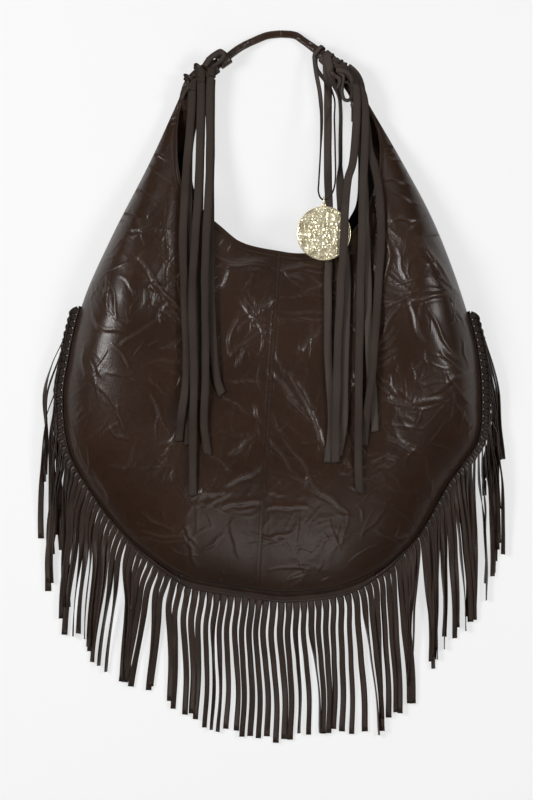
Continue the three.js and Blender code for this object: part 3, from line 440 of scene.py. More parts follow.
# Creases: each is a pinched ridge from one view place to another, bowed sideways by "bow".
# Columns: start x, start y, end x, end y, bow, spread, height.
creases = {
    "mouthAndMiddle": [
        (211, 257, 263, 262, 3, 3.2, 1.3), (218, 265.6, 266, 266.4, -2, 1.6, 0.8),
        (213, 290, 226, 266, 5, 2.2, 0.9), (252.8, 317, 240, 302, 1, 1.6, 0.8),
        (252.8, 317, 274, 301, -2, 1.8, 0.9), (252.8, 318, 238, 332, 2, 1.5, 0.8),
        (252.8, 318, 265, 331, 1, 1.4, 0.8), (252.8, 317, 255, 299, 1, 1.2, 0.6),
        (252.8, 317, 246, 297, -2, 1.2, 0.6), (250, 316, 272, 322, 2, 1.2, 0.6),
        (230, 353.5, 265, 331, -1, 1.8, 1.0), (241, 313, 229, 356, 5, 1.6, 0.7),
        (282, 270.7, 322, 267.3, -2, 2.2, 0.9), (280.7, 271, 304, 281, 1, 1.8, 0.8),
        (296, 296.5, 324, 284, 1, 1.6, 0.6), (260, 312, 271, 299, 1, 1.6, 0.8),
        (296, 353, 321, 328, 1, 1.9, 1.1), (282, 314, 322, 313, 1, 1.5, 0.6),
        (283, 322, 318, 324, -1, 1.3, 0.5), (300, 340, 306, 356, 3, 1.4, 0.5),
    ],
    "leftShoulder": [
        (172.7, 191, 169, 259, 2, 2.2, 0.9), (166, 200, 164, 228, -1, 1.6, 0.5),
        (140.9, 258, 182, 312, 2, 3.0, 1.6), (150, 276, 168, 304, -1, 2.0, 0.8),
        (163, 312, 182, 322, -4, 1.8, 1.0), (160, 322, 168, 304, -4, 1.8, 0.9),
        (108, 277, 117, 320, -3, 1.9, 0.9), (122, 277, 135, 297, -3, 1.7, 0.6),
        (92, 320, 126, 331, 4, 2.2, 1.0), (95, 311, 104, 333, 3, 2.0, 0.8),
        (128, 231, 152, 227, 1, 1.8, 0.6), (94, 275, 113, 297, 2, 1.7, 0.7),
        (111, 254, 126, 239, -2, 1.8, 0.6), (163, 319, 123, 346, 2, 2.2, 0.6),
        (165, 347, 184, 338, 3, 1.6, 0.8), (164, 349, 183, 352, -2, 1.5, 0.7),
        (140, 190, 152, 165, 1, 2.4, 0.5), (120, 218, 130, 206, 2, 1.8, 0.7),
        (104, 262, 118, 258, -2, 1.7, 0.6), (88, 300, 98, 286, 1, 1.8, 0.6),
    ],
    "leftFlank": [
        (151, 378, 170, 396, 1, 1.6, 0.6), (153, 395, 170, 434, 1, 1.7, 0.9),
        (118, 406, 125, 429, 1, 1.7, 0.9), (94, 381, 119, 409, -1, 1.6, 0.5),
        (111, 429, 130, 438, 3, 1.8, 0.8), (161, 444, 178, 436, 2, 1.7, 0.7),
        (153, 478, 172, 449, 1, 1.7, 0.5), (153, 362, 184, 362, -1, 1.6, 0.8),
        (108, 372, 135, 374, 2, 1.6, 0.6), (85, 345, 86, 376, 2, 2.0, 0.8),
        (96, 360, 104, 378, 1, 1.7, 0.6), (76, 418, 84, 408, 1, 1.6, 0.6),
        (123, 473, 135, 449, 2, 1.8, 0.5), (142, 512, 171, 529, 1, 2.0, 0.7),
        (142, 531, 188, 536, 2, 2.2, 0.8), (148, 539, 186, 540, 2, 1.8, 0.6),
        (185, 525, 195, 542, 1, 1.8, 0.7), (92, 470, 108, 500, -2, 2.0, 0.5),
        (167, 371, 182, 376, -1, 1.5, 0.7), (190, 540, 196, 566, 1, 1.9, 0.5),
    ],
    "lowerMiddle": [
        (225, 381, 259, 381, 1, 1.7, 1.0), (219, 394, 248, 413, -1, 2.0, 0.9),
        (254, 404, 260, 423, 1, 1.7, 0.8), (217, 431, 256, 434, 2, 1.8, 0.7),
        (231, 455, 255, 434, 1, 1.9, 1.1), (208, 452, 231, 470, -1, 1.9, 0.8),
        (228, 482, 262, 466, 1, 2.1, 1.2), (190, 497, 226, 492, -2, 2.1, 1.0),
        (208, 503, 231, 491, 1, 1.6, 0.8), (223, 506, 260, 501, -2, 2.2, 1.1),
        (205, 549, 222, 535, 1, 1.8, 0.7), (272, 368, 311, 423, 2, 2.0, 1.1),
        (289, 372, 326, 451, -2, 2.2, 1.2), (282, 391, 310, 421, 1, 1.6, 0.8),
        (296, 380, 313, 408, 1, 1.6, 0.8), (270, 438, 293, 471, 1, 1.9, 0.9),
        (306, 480, 338, 503, 1, 2.0, 1.2), (282, 438, 312, 483, -2, 2.0, 0.9),
        (265, 489, 283, 494, 1, 1.6, 1.0), (267, 507, 306, 506, -1, 1.7, 1.1),
        (263, 537, 287, 533, 1, 1.6, 0.9), (296, 443, 315, 441, 1, 1.4, 0.5),
        (318, 430, 326, 453, 1, 1.6, 0.6), (276, 352, 284, 372, 1, 1.5, 0.5),
        (300, 560, 306, 572, 1, 1.6, 0.7), (232, 520, 240, 556, 2, 2.2, 0.4),
    ],
    "rightSide": [
        (384, 232, 382, 286, -5, 2.4, 1.1), (380, 303, 409, 297, 2, 2.2, 1.0),
        (380, 309, 400, 301, 1, 1.6, 0.7), (392, 221, 417, 222, -2, 1.9, 0.8),
        (421, 237, 460, 294, 2, 3.0, 1.7), (423, 246, 440, 280, -3, 2.0, 1.0),
        (408, 300, 450, 292, 2, 2.6, 1.3), (400, 303, 376, 349, 2, 2.6, 1.0),
        (410, 303, 421, 342, 1, 2.0, 0.8), (430, 314, 455, 360, 1, 2.3, 1.0),
        (437, 276, 452, 290, -1, 1.8, 0.9), (376, 344, 393, 328, 2, 1.7, 0.9),
        (375, 352, 395, 338, 2, 1.7, 0.9), (375, 360, 396, 348, 2, 1.7, 0.9),
        (375, 368, 394, 355, 2, 1.7, 0.9), (377, 376, 395, 394, -1, 1.7, 0.9),
        (376, 384, 390, 400, -1, 1.5, 0.7), (406, 371, 421, 361, 1, 1.6, 0.6),
        (394, 402, 440, 399, 2, 2.2, 1.1), (379, 400, 405, 405, -1, 1.7, 0.9),
        (421, 410, 416, 425, 1, 2.0, 1.1), (385, 437, 418, 454, -1, 1.8, 0.9),
        (370, 461, 395, 458, -3, 1.9, 1.0), (372, 469, 395, 467, -3, 1.7, 0.8),
        (341, 458, 354, 468, 1, 1.6, 0.8), (449, 468, 459, 466, 1, 1.8, 0.8),
        (394, 537, 409, 536, -1, 1.6, 0.7), (377, 530, 404, 545, 1, 1.7, 0.5),
        (361, 533, 383, 511, 1, 1.8, 0.5), (433, 392, 474, 369, -2, 2.3, 1.0),
        (447, 374, 472, 405, 2, 2.0, 0.8), (452, 396, 470, 425, 1, 1.9, 0.8),
        (440, 352, 462, 372, 1, 2.0, 0.9), (462, 340, 468, 366, 1, 1.8, 0.8),
        (386, 180, 410, 186, -2, 2.0, 0.7), (390, 190, 420, 205, 1, 1.8, 0.6),
        (384, 128, 398, 152, 1, 1.8, 0.7), (398, 250, 404, 280, 1, 2.0, 0.5),
        (424, 456, 432, 488, 1, 2.0, 0.4), (452, 300, 468, 330, 1, 2.0, 0.9),
    ],
}
# Fine creases are scattered: some in fans round a centre, the others alone.
scattered = {"fans": 60, "perFan": 6, "alone": 240, "length": (9, 42), "spread": (0.55, 1.15),
             "height": (0.2, 0.72), "seed": 31}


def scatterCreases(setting, box):
    chance = random.Random(setting["seed"])
    rows = []

    def crease(x, y, angle):
        length = chance.uniform(*setting["length"])
        x2, y2 = x + length * math.cos(angle), y + length * math.sin(angle)
        rows.append((x, y, x2, y2, chance.uniform(-0.14, 0.14) * length,
                     chance.uniform(*setting["spread"]), chance.uniform(*setting["height"])))

    for _ in range(setting["fans"]):
        x, y = chance.uniform(box[0], box[1]), chance.uniform(box[2], box[3])
        angle = chance.uniform(0, 2 * math.pi)
        width = chance.choice((0.5, 0.9, 2.4))
        for _ in range(setting["perFan"]):
            crease(x + chance.gauss(0, 4), y + chance.gauss(0, 4), angle + chance.gauss(0, width))
    for _ in range(setting["alone"]):
        crease(chance.uniform(box[0], box[1]), chance.uniform(box[2], box[3]),
               chance.uniform(0, 2 * math.pi))
    return rows


# Height of all creases over a field of view places, and how much of a ridge each place is.
def creaseField(vx, vy, rows):
    height, ridge = np.zeros_like(vx), np.zeros_like(vx)
    for x0, y0, x1, y1, bow, spread, rise in rows:
        spread = spread * 0.74
        margin = spread * 7
        near = ((vx > min(x0, x1) - margin - abs(bow)) & (vx < max(x0, x1) + margin + abs(bow))
                & (vy > min(y0, y1) - margin - abs(bow)) & (vy < max(y0, y1) + margin + abs(bow)))
        if not near.any():
            continue
        x, y = vx[near], vy[near]
        length = math.hypot(x1 - x0, y1 - y0)
        ax, ay = (x1 - x0) / length, (y1 - y0) / length
        along = ((x - x0) * ax + (y - y0) * ay) / length
        aside = -(x - x0) * ay + (y - y0) * ax
        inside = np.clip(along, 0, 1)
        beyond = (along - inside) * length
        aside = aside - bow * 4 * inside * (1 - inside)
        wander = 0.5 * np.sin(inside * 9 + x0) * spread
        distance = np.hypot(aside - wander, beyond)
        taper = 0.35 + 0.65 * np.sin(math.pi * np.clip(0.08 + 0.84 * inside, 0, 1))
        soft = 0.28 * spread
        reachOut = (np.sqrt(distance**2 + soft**2) - soft) / spread
        pinch = np.exp(-reachOut)
        hollow = 0.35 * np.exp(-((aside - wander - 2.2 * spread) / (1.3 * spread)) ** 2
                               - (beyond / spread) ** 2)
        height[near] += rise * taper * (pinch - hollow)
        ridge[near] = np.maximum(ridge[near], taper * np.exp(-(distance / (0.45 * spread)) ** 2)
                                 * min(1.0, rise))
    return height, ridge


# Slow dents and fine crumpling that run between the creases.
crumple = {"dent": 1.5, "dentSize": 56.0, "fold": 0.42, "foldSize": 24.0, "fine": 0.14, "fineSize": 8.0}


def crumpleField(vx, vy, seed):
    wx = vx + 7 * fieldNoise(vx, vy, 34, seed + 1)
    wy = vy + 7 * fieldNoise(vx, vy, 34, seed + 2)
    dents = crumple["dent"] * fieldNoise(wx, wy, crumple["dentSize"], seed + 3)
    folds = 1 - np.abs(fieldNoise(wx, wy, crumple["foldSize"], seed + 4)) * 2.2
    where = smooth(0.5 + 1.3 * fieldNoise(vx, vy, 80, seed + 5))
    fine = 1 - np.abs(fieldNoise(wx * 1.3, wy, crumple["fineSize"], seed + 6)) * 2.0
    return dents + where * (crumple["fold"] * np.maximum(folds, -0.4) ** 3
                            + crumple["fine"] * np.maximum(fine, -0.3) ** 3)


frontCreases = [row for rows in creases.values() for row in rows]
frontCreases += scatterCreases(scattered, (60, 480, 100, 595))
backCreases = scatterCreases({**scattered, "seed": 77, "alone": 260}, (60, 480, 100, 595))

panelMesh = {"columns": 400, "rows": 230, "backColumns": 190, "backRows": 120, "hem": 9.0,
             "stitchInset": 3.6, "seamInset": 2.2}


# One panel as a dense sheet whose outer face is creased. Its mouth edge turns in as a hem.
def panelSheet(side, face, columns, rows):
    u = np.linspace(0, 1, columns)[:, None] * np.ones((1, rows))
    # rows crowd towards both edges
    share = np.linspace(0, 1, rows)[None, :] * np.ones((columns, 1))
    v = share - 0.045 * np.sin(2 * math.pi * share)
    outer = edge.at(side, u[:, 0])[:, None, :]
    inner = mouths[face].at(side, u[:, 0])[:, None, :]
    reach = np.linalg.norm(outer - inner, axis=-1) * np.ones_like(v)
    plan = mix(outer, inner, v[..., None])
    x, y = plan[..., 0].copy(), plan[..., 1]
    z = frontTop(side, u, v, reach) if face == "front" else backTop(side, u, v, reach)
    vx, vy = x + viewToPart["x"], viewToPart["y"] - y
    fromEdge, fromMouth = v * reach, (1 - v) * reach
    seam = np.linalg.norm(plan - plan[-1:, :, :], axis=-1)
    calm = smooth(fromEdge / 5) * mix(0.25, 1, smooth((fromMouth - 3) / 9))
    calm *= mix(0.55, 1, smooth((seam - 1) / 5)) * smooth((reach - 4) / 22)
    if face == "front":
        ridgeHeight, ridge = creaseField(vx, vy, frontCreases)
        z = z + calm * (ridgeHeight + crumpleField(vx, vy, 11))
        # the hem's stitch line and the middle seam press into the leather
        z -= 0.45 * np.exp(-((fromMouth - panelMesh["stitchInset"]) / 0.9) ** 2) * smooth(reach / 20)
        z -= 0.13 * np.exp(-((seam - panelMesh["seamInset"]) / 0.7) ** 2)
        z -= 0.22 * np.exp(-(seam / 0.8) ** 2)
        z += 0.35 * smooth((7 - fromMouth) / 2) * smooth(reach / 20)
    else:
        ridgeHeight, ridge = creaseField(vx, vy, backCreases)
        z = z - body["leather"]
        lifted = smooth((z - 0.5) / 6)
        z += np.maximum(0, calm * 0.5 * (ridgeHeight + crumpleField(vx, vy, 47)) * mix(0.55, 1, lifted))
    points = np.stack([x, y, z], axis=-1)
    # Crease crests take the lighter colour: a painted highlight along each ridge, with rub wear on it.
    wearAndPaintedLight = np.clip(ridge, 0, 1) * calm
    return points, wearAndPaintedLight, reach


# Adds rows that roll the sheet's mouth edge over to its other face, and columns at the seam.
def hemmed(points, wearAndPaintedLight, face, reach):
    sign = -1 if face == "front" else 1
    room = np.minimum(1.0, reach[:, 0] / 22)[:, None]
    edgeRow, before = points[:, -1], points[:, -4]
    outward = unit((edgeRow - before) * np.array([1, 1, 0.0]))
    turns = [(0.5, 0.12), (0.75, 0.5), (0.6, 1.0), (0.1, 1.35), (-1.2, 1.45), (-panelMesh["hem"], 1.5)]
    extra = []
    for away, drop in turns:
        row = edgeRow + outward * away * (room if away < 0 else 1)
        row[:, 2] += sign * drop * (body["leather"] / 1.4)
        extra.append(row)
    outerEdge, after = points[:, 0], points[:, 3]
    outwardEdge = unit((outerEdge - after) * np.array([1, 1, 0.0]))
    under = []
    for away, drop in [(-6.0, 1.5), (-0.6, 1.4), (0.15, 1.0), (0.3, 0.45)]:
        row = outerEdge + outwardEdge * away * (room if away < 0 else 1)
        row[:, 2] += sign * drop
        under.append(row)
    whole = np.concatenate([np.stack(under, 1), points, np.stack(extra, 1)], axis=1)
    wearAndPaintedLightWhole = np.pad(wearAndPaintedLight, ((0, 0), (len(under), len(extra))), mode="edge")
    # past the seam the leather dips under the other half, then turns down
    lapped = whole[-1:] + unit((whole[-1:] - whole[-4:-3]) * np.array([1, 1, 0.0])) * 0.6
    lapped[..., 2] += sign * 0.05
    turned = lapped + np.array([0, 0, sign * 2.0])
    whole = np.concatenate([whole, lapped, turned], axis=0)
    wearAndPaintedLightWhole = np.concatenate([wearAndPaintedLightWhole, wearAndPaintedLightWhole[-1:], wearAndPaintedLightWhole[-1:]], axis=0)
    return whole, wearAndPaintedLightWhole


panels = {}


def makePanel(side, face):
    front = face == "front"
    columns = panelMesh["columns" if front else "backColumns"]
    rows = panelMesh["rows" if front else "backRows"]
    points, wearAndPaintedLight, reach = panelSheet(side, face, columns, rows)
    panels[face, side] = points
    whole, wearAndPaintedLightWhole = hemmed(points, wearAndPaintedLight, face, reach)
    flip = (side == "left") == front
    part = {"points": whole.reshape(-1, 3), "wearAndPaintedLight": wearAndPaintedLightWhole.reshape(-1),
            "faces": gridFaces(whole.shape[0], whole.shape[1], flip=flip)}
    name = f"{face}_leather_{side}"
    makePiece(name, [part], bodyLeather, replaced=[f"{face}_panel_{side}"])


for face in ("front", "back"):
    for side in ("left", "right"):
        makePanel(side, face)
print("panels made")


# The lining follows the panels inside, from the mouth to a fold near the outer seam.
liningSheet = {
    "firstShare": 0.2, "foldShare": 0.17, "columns": 60, "rows": 44, "underFront": 2.6, "overBack": 0.6,
    # metres: the cut that holds both halves, and the cloth in it
    "flat": (0.4, 0.8), "clothArea": 0.24,
}


def makeLiningSheet():
    sheets = []
    for side in ("left", "right"):
        rows = []
        for u in np.linspace(liningSheet["firstShare"], 1, liningSheet["columns"]):
            line = []
            shares = np.linspace(1, liningSheet["foldShare"], liningSheet["rows"])
            for face in ("front", "back"):
                for v in shares if face == "front" else shares[::-1]:
                    outer, inner = edge.at(side, u), mouths[face].at(side, u)
                    reach = np.linalg.norm(outer - inner)
                    x, y = mix(outer, inner, v)
                    if face == "front":
                        z = frontTop(side, u, v, reach) - body["leather"] - liningSheet["underFront"]
                    else:
                        z = backTop(side, u, v, reach) + liningSheet["overBack"]
                    line.append((x, y, z))
            rows.append(line)
        sheets.append(np.array(rows))
    whole = np.concatenate([sheets[0], sheets[1][::-1][1:]], axis=0)
    count = liningSheet["rows"]
    low, high = whole[:, count:][:, ::-1], whole[:, :count]
    pinch = np.maximum(0, low[..., 2] + 0.5 - high[..., 2])
    whole[:, :count, 2] += pinch
    return whole


liningPoints = makeLiningSheet()
liningPart = {"points": liningPoints.reshape(-1, 3),
              "faces": gridFaces(*liningPoints.shape[:2], flip=True)}
liningPiece = makePiece("lining_cloth", [liningPart], liningCloth, replaced=["lining"])
print("lining made")

# Handle: two tapered straps that butt at the top of the loop, drawn from foot (0, 0) to top (1, 1).
handle = {
    "rise": 65.0, "topShift": 9.0, "thickness": 7.5, "topWidth": 7.5, "fitGap": 0.3,
    "left": [(0, 0), (0.029, 0.172), (0.11, 0.352), (0.225, 0.48), (0.341, 0.577),
             (0.526, 0.768), (0.711, 0.9), (0.85, 0.975), (1, 1)],
    "right": [(0, 0), (0.038, 0.157), (0.127, 0.299), (0.241, 0.442), (0.342, 0.556),
              (0.443, 0.662), (0.557, 0.769), (0.709, 0.897), (0.823, 0.979), (1, 1)],
    "keeperDistance": 51.0, "keeperWidth": 12.0, "keeperThickness": 1.8,
}


class Strap:
    def __init__(self, side):
        self.left = side == "left"
        self.foot = body["leftFoot" if self.left else "rightFoot"]
        footX = leftTipX + self.foot / 2 if self.left else rightTipX - self.foot / 2
        footY = (shoulderY if self.left else rightShoulderY) + handle["fitGap"]
        topX = handle["topShift"] + (-0.15 if self.left else 0.15)
        points = [(mix(footX, topX, across), mix(footY, shoulderY + handle["rise"], up),
                   mix(body["seamHeight"] + 1, handle["thickness"] / 2 + handle["fitGap"],
                       smooth((up - 0.6) / 0.4))) for across, up in handle[side]]
        self.line = Line(curveThrough(points))
        self.length = self.line.length

    def widthAt(self, share):
        taper = 0.5 if self.left else 0.8
        return mix(self.foot, handle["topWidth"], smooth(np.asarray(share) / taper))

    def frameAt(self, share):
        along = self.line.heading(share)
        across = unit(np.cross([0, 0, 1.0], along))
        return self.line.at(share), along, across, unit(np.cross(along, across))


straps = {"left": Strap("left"), "right": Strap("right")}
tau = 2 * math.pi


def softRing(half, rise, angle, power=0.62):
    c, s = np.cos(angle), np.sin(angle)
    return half * np.sign(c) * np.abs(c) ** power, rise * np.sign(s) * np.abs(s) ** power


def makeStrap(side):
    strap = straps[side]
    stations, around = 170, 40
    shares = np.linspace(0, 1, stations)
    centre, along, across, front = strap.frameAt(shares)
    angle = np.linspace(0, tau, around, endpoint=False)
    points = np.zeros((stations, around, 3))
    wearAndPaintedLight = np.zeros((stations, around))
    for k, share in enumerate(shares):
        half, rise = strap.widthAt(share) / 2, handle["thickness"] / 2
        a, f = softRing(half, rise, angle)
        place = share * strap.length
        rough = 0.42 * fieldNoise(a + 80, place + 0 * a, 7.0, 5) + 0.3 * fieldNoise(a, place * 0.6 + 0 * a, 17.0, 9)
        crease = np.abs(fieldNoise(a * 1.2, place + 0 * a, 11.0, 14))
        a, f = a * (1 + rough * 0.05), f * (1 + rough * 0.16) - 0.5 * np.exp(-(crease / 0.07) ** 2) * np.sign(f)
        # a shallow channel runs along the middle, where the strap is folded round its core
        f = f - 0.35 * np.exp(-((a + 0.18 * half) / 0.9) ** 2) * (f > 0)
        points[k] = centre[k] + across[k] * a[:, None] + front[k] * f[:, None]
        wearAndPaintedLight[k] = np.clip(0.5 * smooth(rough) + 0.4 * np.exp(-((np.abs(a) - half) / 0.8) ** 2), 0, 1)
    # the foot flattens and runs on under the front panel's tip
    tuck = []
    for drop, flat in ((16, 0.22), (10, 0.34), (5, 0.66), (2, 0.9)):
        low = points[0].copy()
        low[:, 1] -= drop
        low[:, 2] = mix(12.4, low[:, 2], flat)
        tuck.append(low)
    whole = np.concatenate([np.array(tuck), points])
    wearAndPaintedLight = np.concatenate([np.repeat(wearAndPaintedLight[:1], len(tuck), 0), wearAndPaintedLight])
    # the top end closes as a folded butt
    for reach, share in ((0.35, 0.92), (0.5, 0.5)):
        end = points[-1]
        middle = end.mean(axis=0)
        ring = middle + (end - middle) * share + along[-1] * reach
        whole = np.concatenate([whole, ring[None]])
        wearAndPaintedLight = np.concatenate([wearAndPaintedLight, wearAndPaintedLight[-1:]])
    faces = gridFaces(len(whole), around, loop=True)
    faces.append(tuple(range(around - 1, -1, -1)))
    faces.append(tuple((len(whole) - 1) * around + k for k in range(around)))
    part = {"points": whole.reshape(-1, 3), "faces": faces, "wearAndPaintedLight": wearAndPaintedLight.reshape(-1)}
    return makePiece(f"handle_{side}", [part], bodyLeather,
                     replaced=[f"handle_strap_{side}"]), part


# A band that goes once round a strap, hugging it.
def bandRound(side, distance, width, thickness, clearance=0.35, tilt=0.0, spread=0.0):
    strap = straps[side]
    share = distance / strap.length
    centre, along, across, front = strap.frameAt(share)
    half = strap.widthAt(share - width / 2 / strap.length) / 2 + clearance + thickness / 2
    rise = handle["thickness"] / 2 + clearance + thickness / 2
    angle = np.linspace(0, tau, 56, endpoint=False)
    a, f = softRing(half, rise, angle, 0.66)
    lean = tilt * np.sin(angle) + spread * np.cos(angle * 2)
    path = centre + across * a[:, None] + front * f[:, None] + along * lean[:, None]
    return ribbon(path, np.tile(along, (len(path), 1)), width, thickness, closed=True)


solids = []


# Keeps a part as something that later thongs can lie on.
def remember(part):
    points = [Vector(p) for p in part["points"]]
    solids.append(BVHTree.FromPolygons(points, part["faces"]))


strapParts = {side: makeStrap(side)[1] for side in ("left", "right")}
makePiece("handle_keeper_band", [bandRound("left", handle["keeperDistance"], handle["keeperWidth"],
                                           handle["keeperThickness"])],
          bodyLeather, replaced=["handle_keeper"])
print("handle made")

for side in ("left", "right"):
    grid = panels["front", side]
    remember({"points": grid.reshape(-1, 3), "faces": gridFaces(*grid.shape[:2])})
for part in strapParts.values():
    remember(part)


def heightUnder(x, y):
    heights = [hit[0].z for hit in (solid.ray_cast(Vector((x, y, 300)), Vector((0, 0, -1)))
                                    for solid in solids) if hit[0] is not None]
    return max(heights) if heights else None


# Heights along a limp strip over what lies below it: it bridges hollows with a slight sag.
def drapedHeights(places, heights, sag):
    hull = []
    for along, height in zip(places, heights):
        if height is None:
            continue
        point = (along, height - sag * along**2)
        while len(hull) > 1:
            (a, ah), (b, bh) = hull[-2:]
            if (b - a) * (point[1] - ah) - (bh - ah) * (point[0] - a) < 0:
                break
            hull.pop()
        hull.append(point)
    hull = np.array(hull)
    return np.interp(places, hull[:, 0], hull[:, 1]) + sag * places**2


# Tassel thongs: each is hitched round a strap and has tails that hang down over the bag.
thongs = {
    "width": 8.0, "thickness": 1.6, "sag": 0.0022, "lift": 0.25, "standOff": 2.2, "embed": 1.2, "hitchWidth": 7.4,
    "hitches": {"left_1": ("left", 15.0), "left_2": ("left", 26.5), "left_3": ("left", 38.5),
                "right_1": ("right", 57.5), "right_2": ("right", 46.0), "right_3": ("right", 34.5)},
    # tail routes in millimetres from the middle of the hitch
    "tails": [
        ("left_1", [(-4.5, 0), (-4, -12), (-5, -27), (-7, -67), (-7, -127), (-7, -207),
                    (-8, -277), (-8.5, -347), (-9, -362)], {"width": 0.7}),
        ("left_2", [(-2, -2), (-1.5, -18.5), (-1.5, -56.5), (-3, -126.5), (-3.5, -216.5),
                    (-4, -326.5)], {"width": 0.8}),
        ("left_3", [(-0.5, -2.5), (-1.5, -19), (-2, -64), (-2.5, -134), (-2, -214), (0.5, -274),
                    (4.5, -314), (10, -328.5)], {}),
        ("left_1", [(-5, 3), (-5, -12), (-7, -47), (-10, -82), (-12, -117), (-13.5, -157),
                    (-12, -207), (-9.5, -277), (-10, -297), (-14.5, -332), (-17.5, -358)], {}),
        ("left_2", [(-2.5, 1.5), (-2.5, -21.5), (-3.5, -56.5), (-4, -91.5), (-5.5, -126.5),
                    (-8, -166.5), (-10.5, -216.5), (-8.5, -306.5), (-9.5, -346.5),
                    (-10, -421.5)], {}),
        ("left_3", [(-1.5, 0), (-3, -29), (-3, -64), (-3, -99), (-4.5, -134), (-6.5, -174),
                    (-7.5, -224), (-7, -314), (-8.5, -354), (-6.5, -374), (-4.5, -388)], {}),
        ("right_1", [(-1, -2), (0.5, -14), (1.5, -26), (1.5, -52), (1.5, -122), (2.5, -147),
                     (2, -212), (1.5, -222), (1, -262), (1.5, -302), (4, -342), (4.5, -368),
                     (0.5, -404)], {"tone": 0.5}),
        ("right_1", [(0.5, -2), (3.5, -12), (7.2, -22), (12.2, -34), (14, -52), (14, -142),
                     (17, -182), (20, -222), (19, -262), (17.5, -302), (17, -342), (16, -368),
                     (10.5, -398)], {"turn": (20, 130, -1.2), "tone": 0.55}),
        ("right_2", [(3, 3), (13, -1.5), (22.5, -11), (27, -26), (27.5, -64), (29, -99),
                     (29.5, -144), (31, -184), (31.5, -194), (32.5, -234), (34, -294),
                     (36.5, -324), (39, -365.5)], {"tone": 0.6}),
        ("right_3", [(-2.5, -3), (6, -11), (15, -22), (22, -41), (26.5, -76), (31, -91),
                     (35.5, -116), (37.5, -141), (37.5, -176), (35, -206), (32.5, -246),
                     (29.5, -286), (27.5, -306), (23, -341), (20, -371)], {}),
    ],
    # these two lie over the medallion wherever it swings
    "overDisc": [
        ("right_3", [(-1.5, -2), (8, -7), (18, -16), (22.5, -34), (22.5, -56), (21, -91),
                     (19, -136), (18.5, -166), (17, -206), (16.5, -246), (15.5, -286),
                     (15, -326), (14.5, -366), (15.5, -418)], {"tone": 0.12}),
        ("right_2", [(3, 2), (11, -5), (18, -14), (21.5, -26), (22, -44), (17.5, -99),
                     (13, -114), (9.5, -149), (8.5, -174), (7.5, -194), (5.5, -214),
                     (5, -234), (2.5, -274), (1.5, -314), (0.5, -354), (0, -396)], {"tone": 0.2}),
    ],
}
hitchParts = {name: [] for name in thongs["hitches"]}


def hitchFrame(name):
    side, distance = thongs["hitches"][name]
    strap = straps[side]
    share = distance / strap.length
    centre = strap.frameAt(share)[0]
    rise = handle["thickness"] / 2 + 0.9 + thongs["thickness"]
    return centre, centre[2] + rise


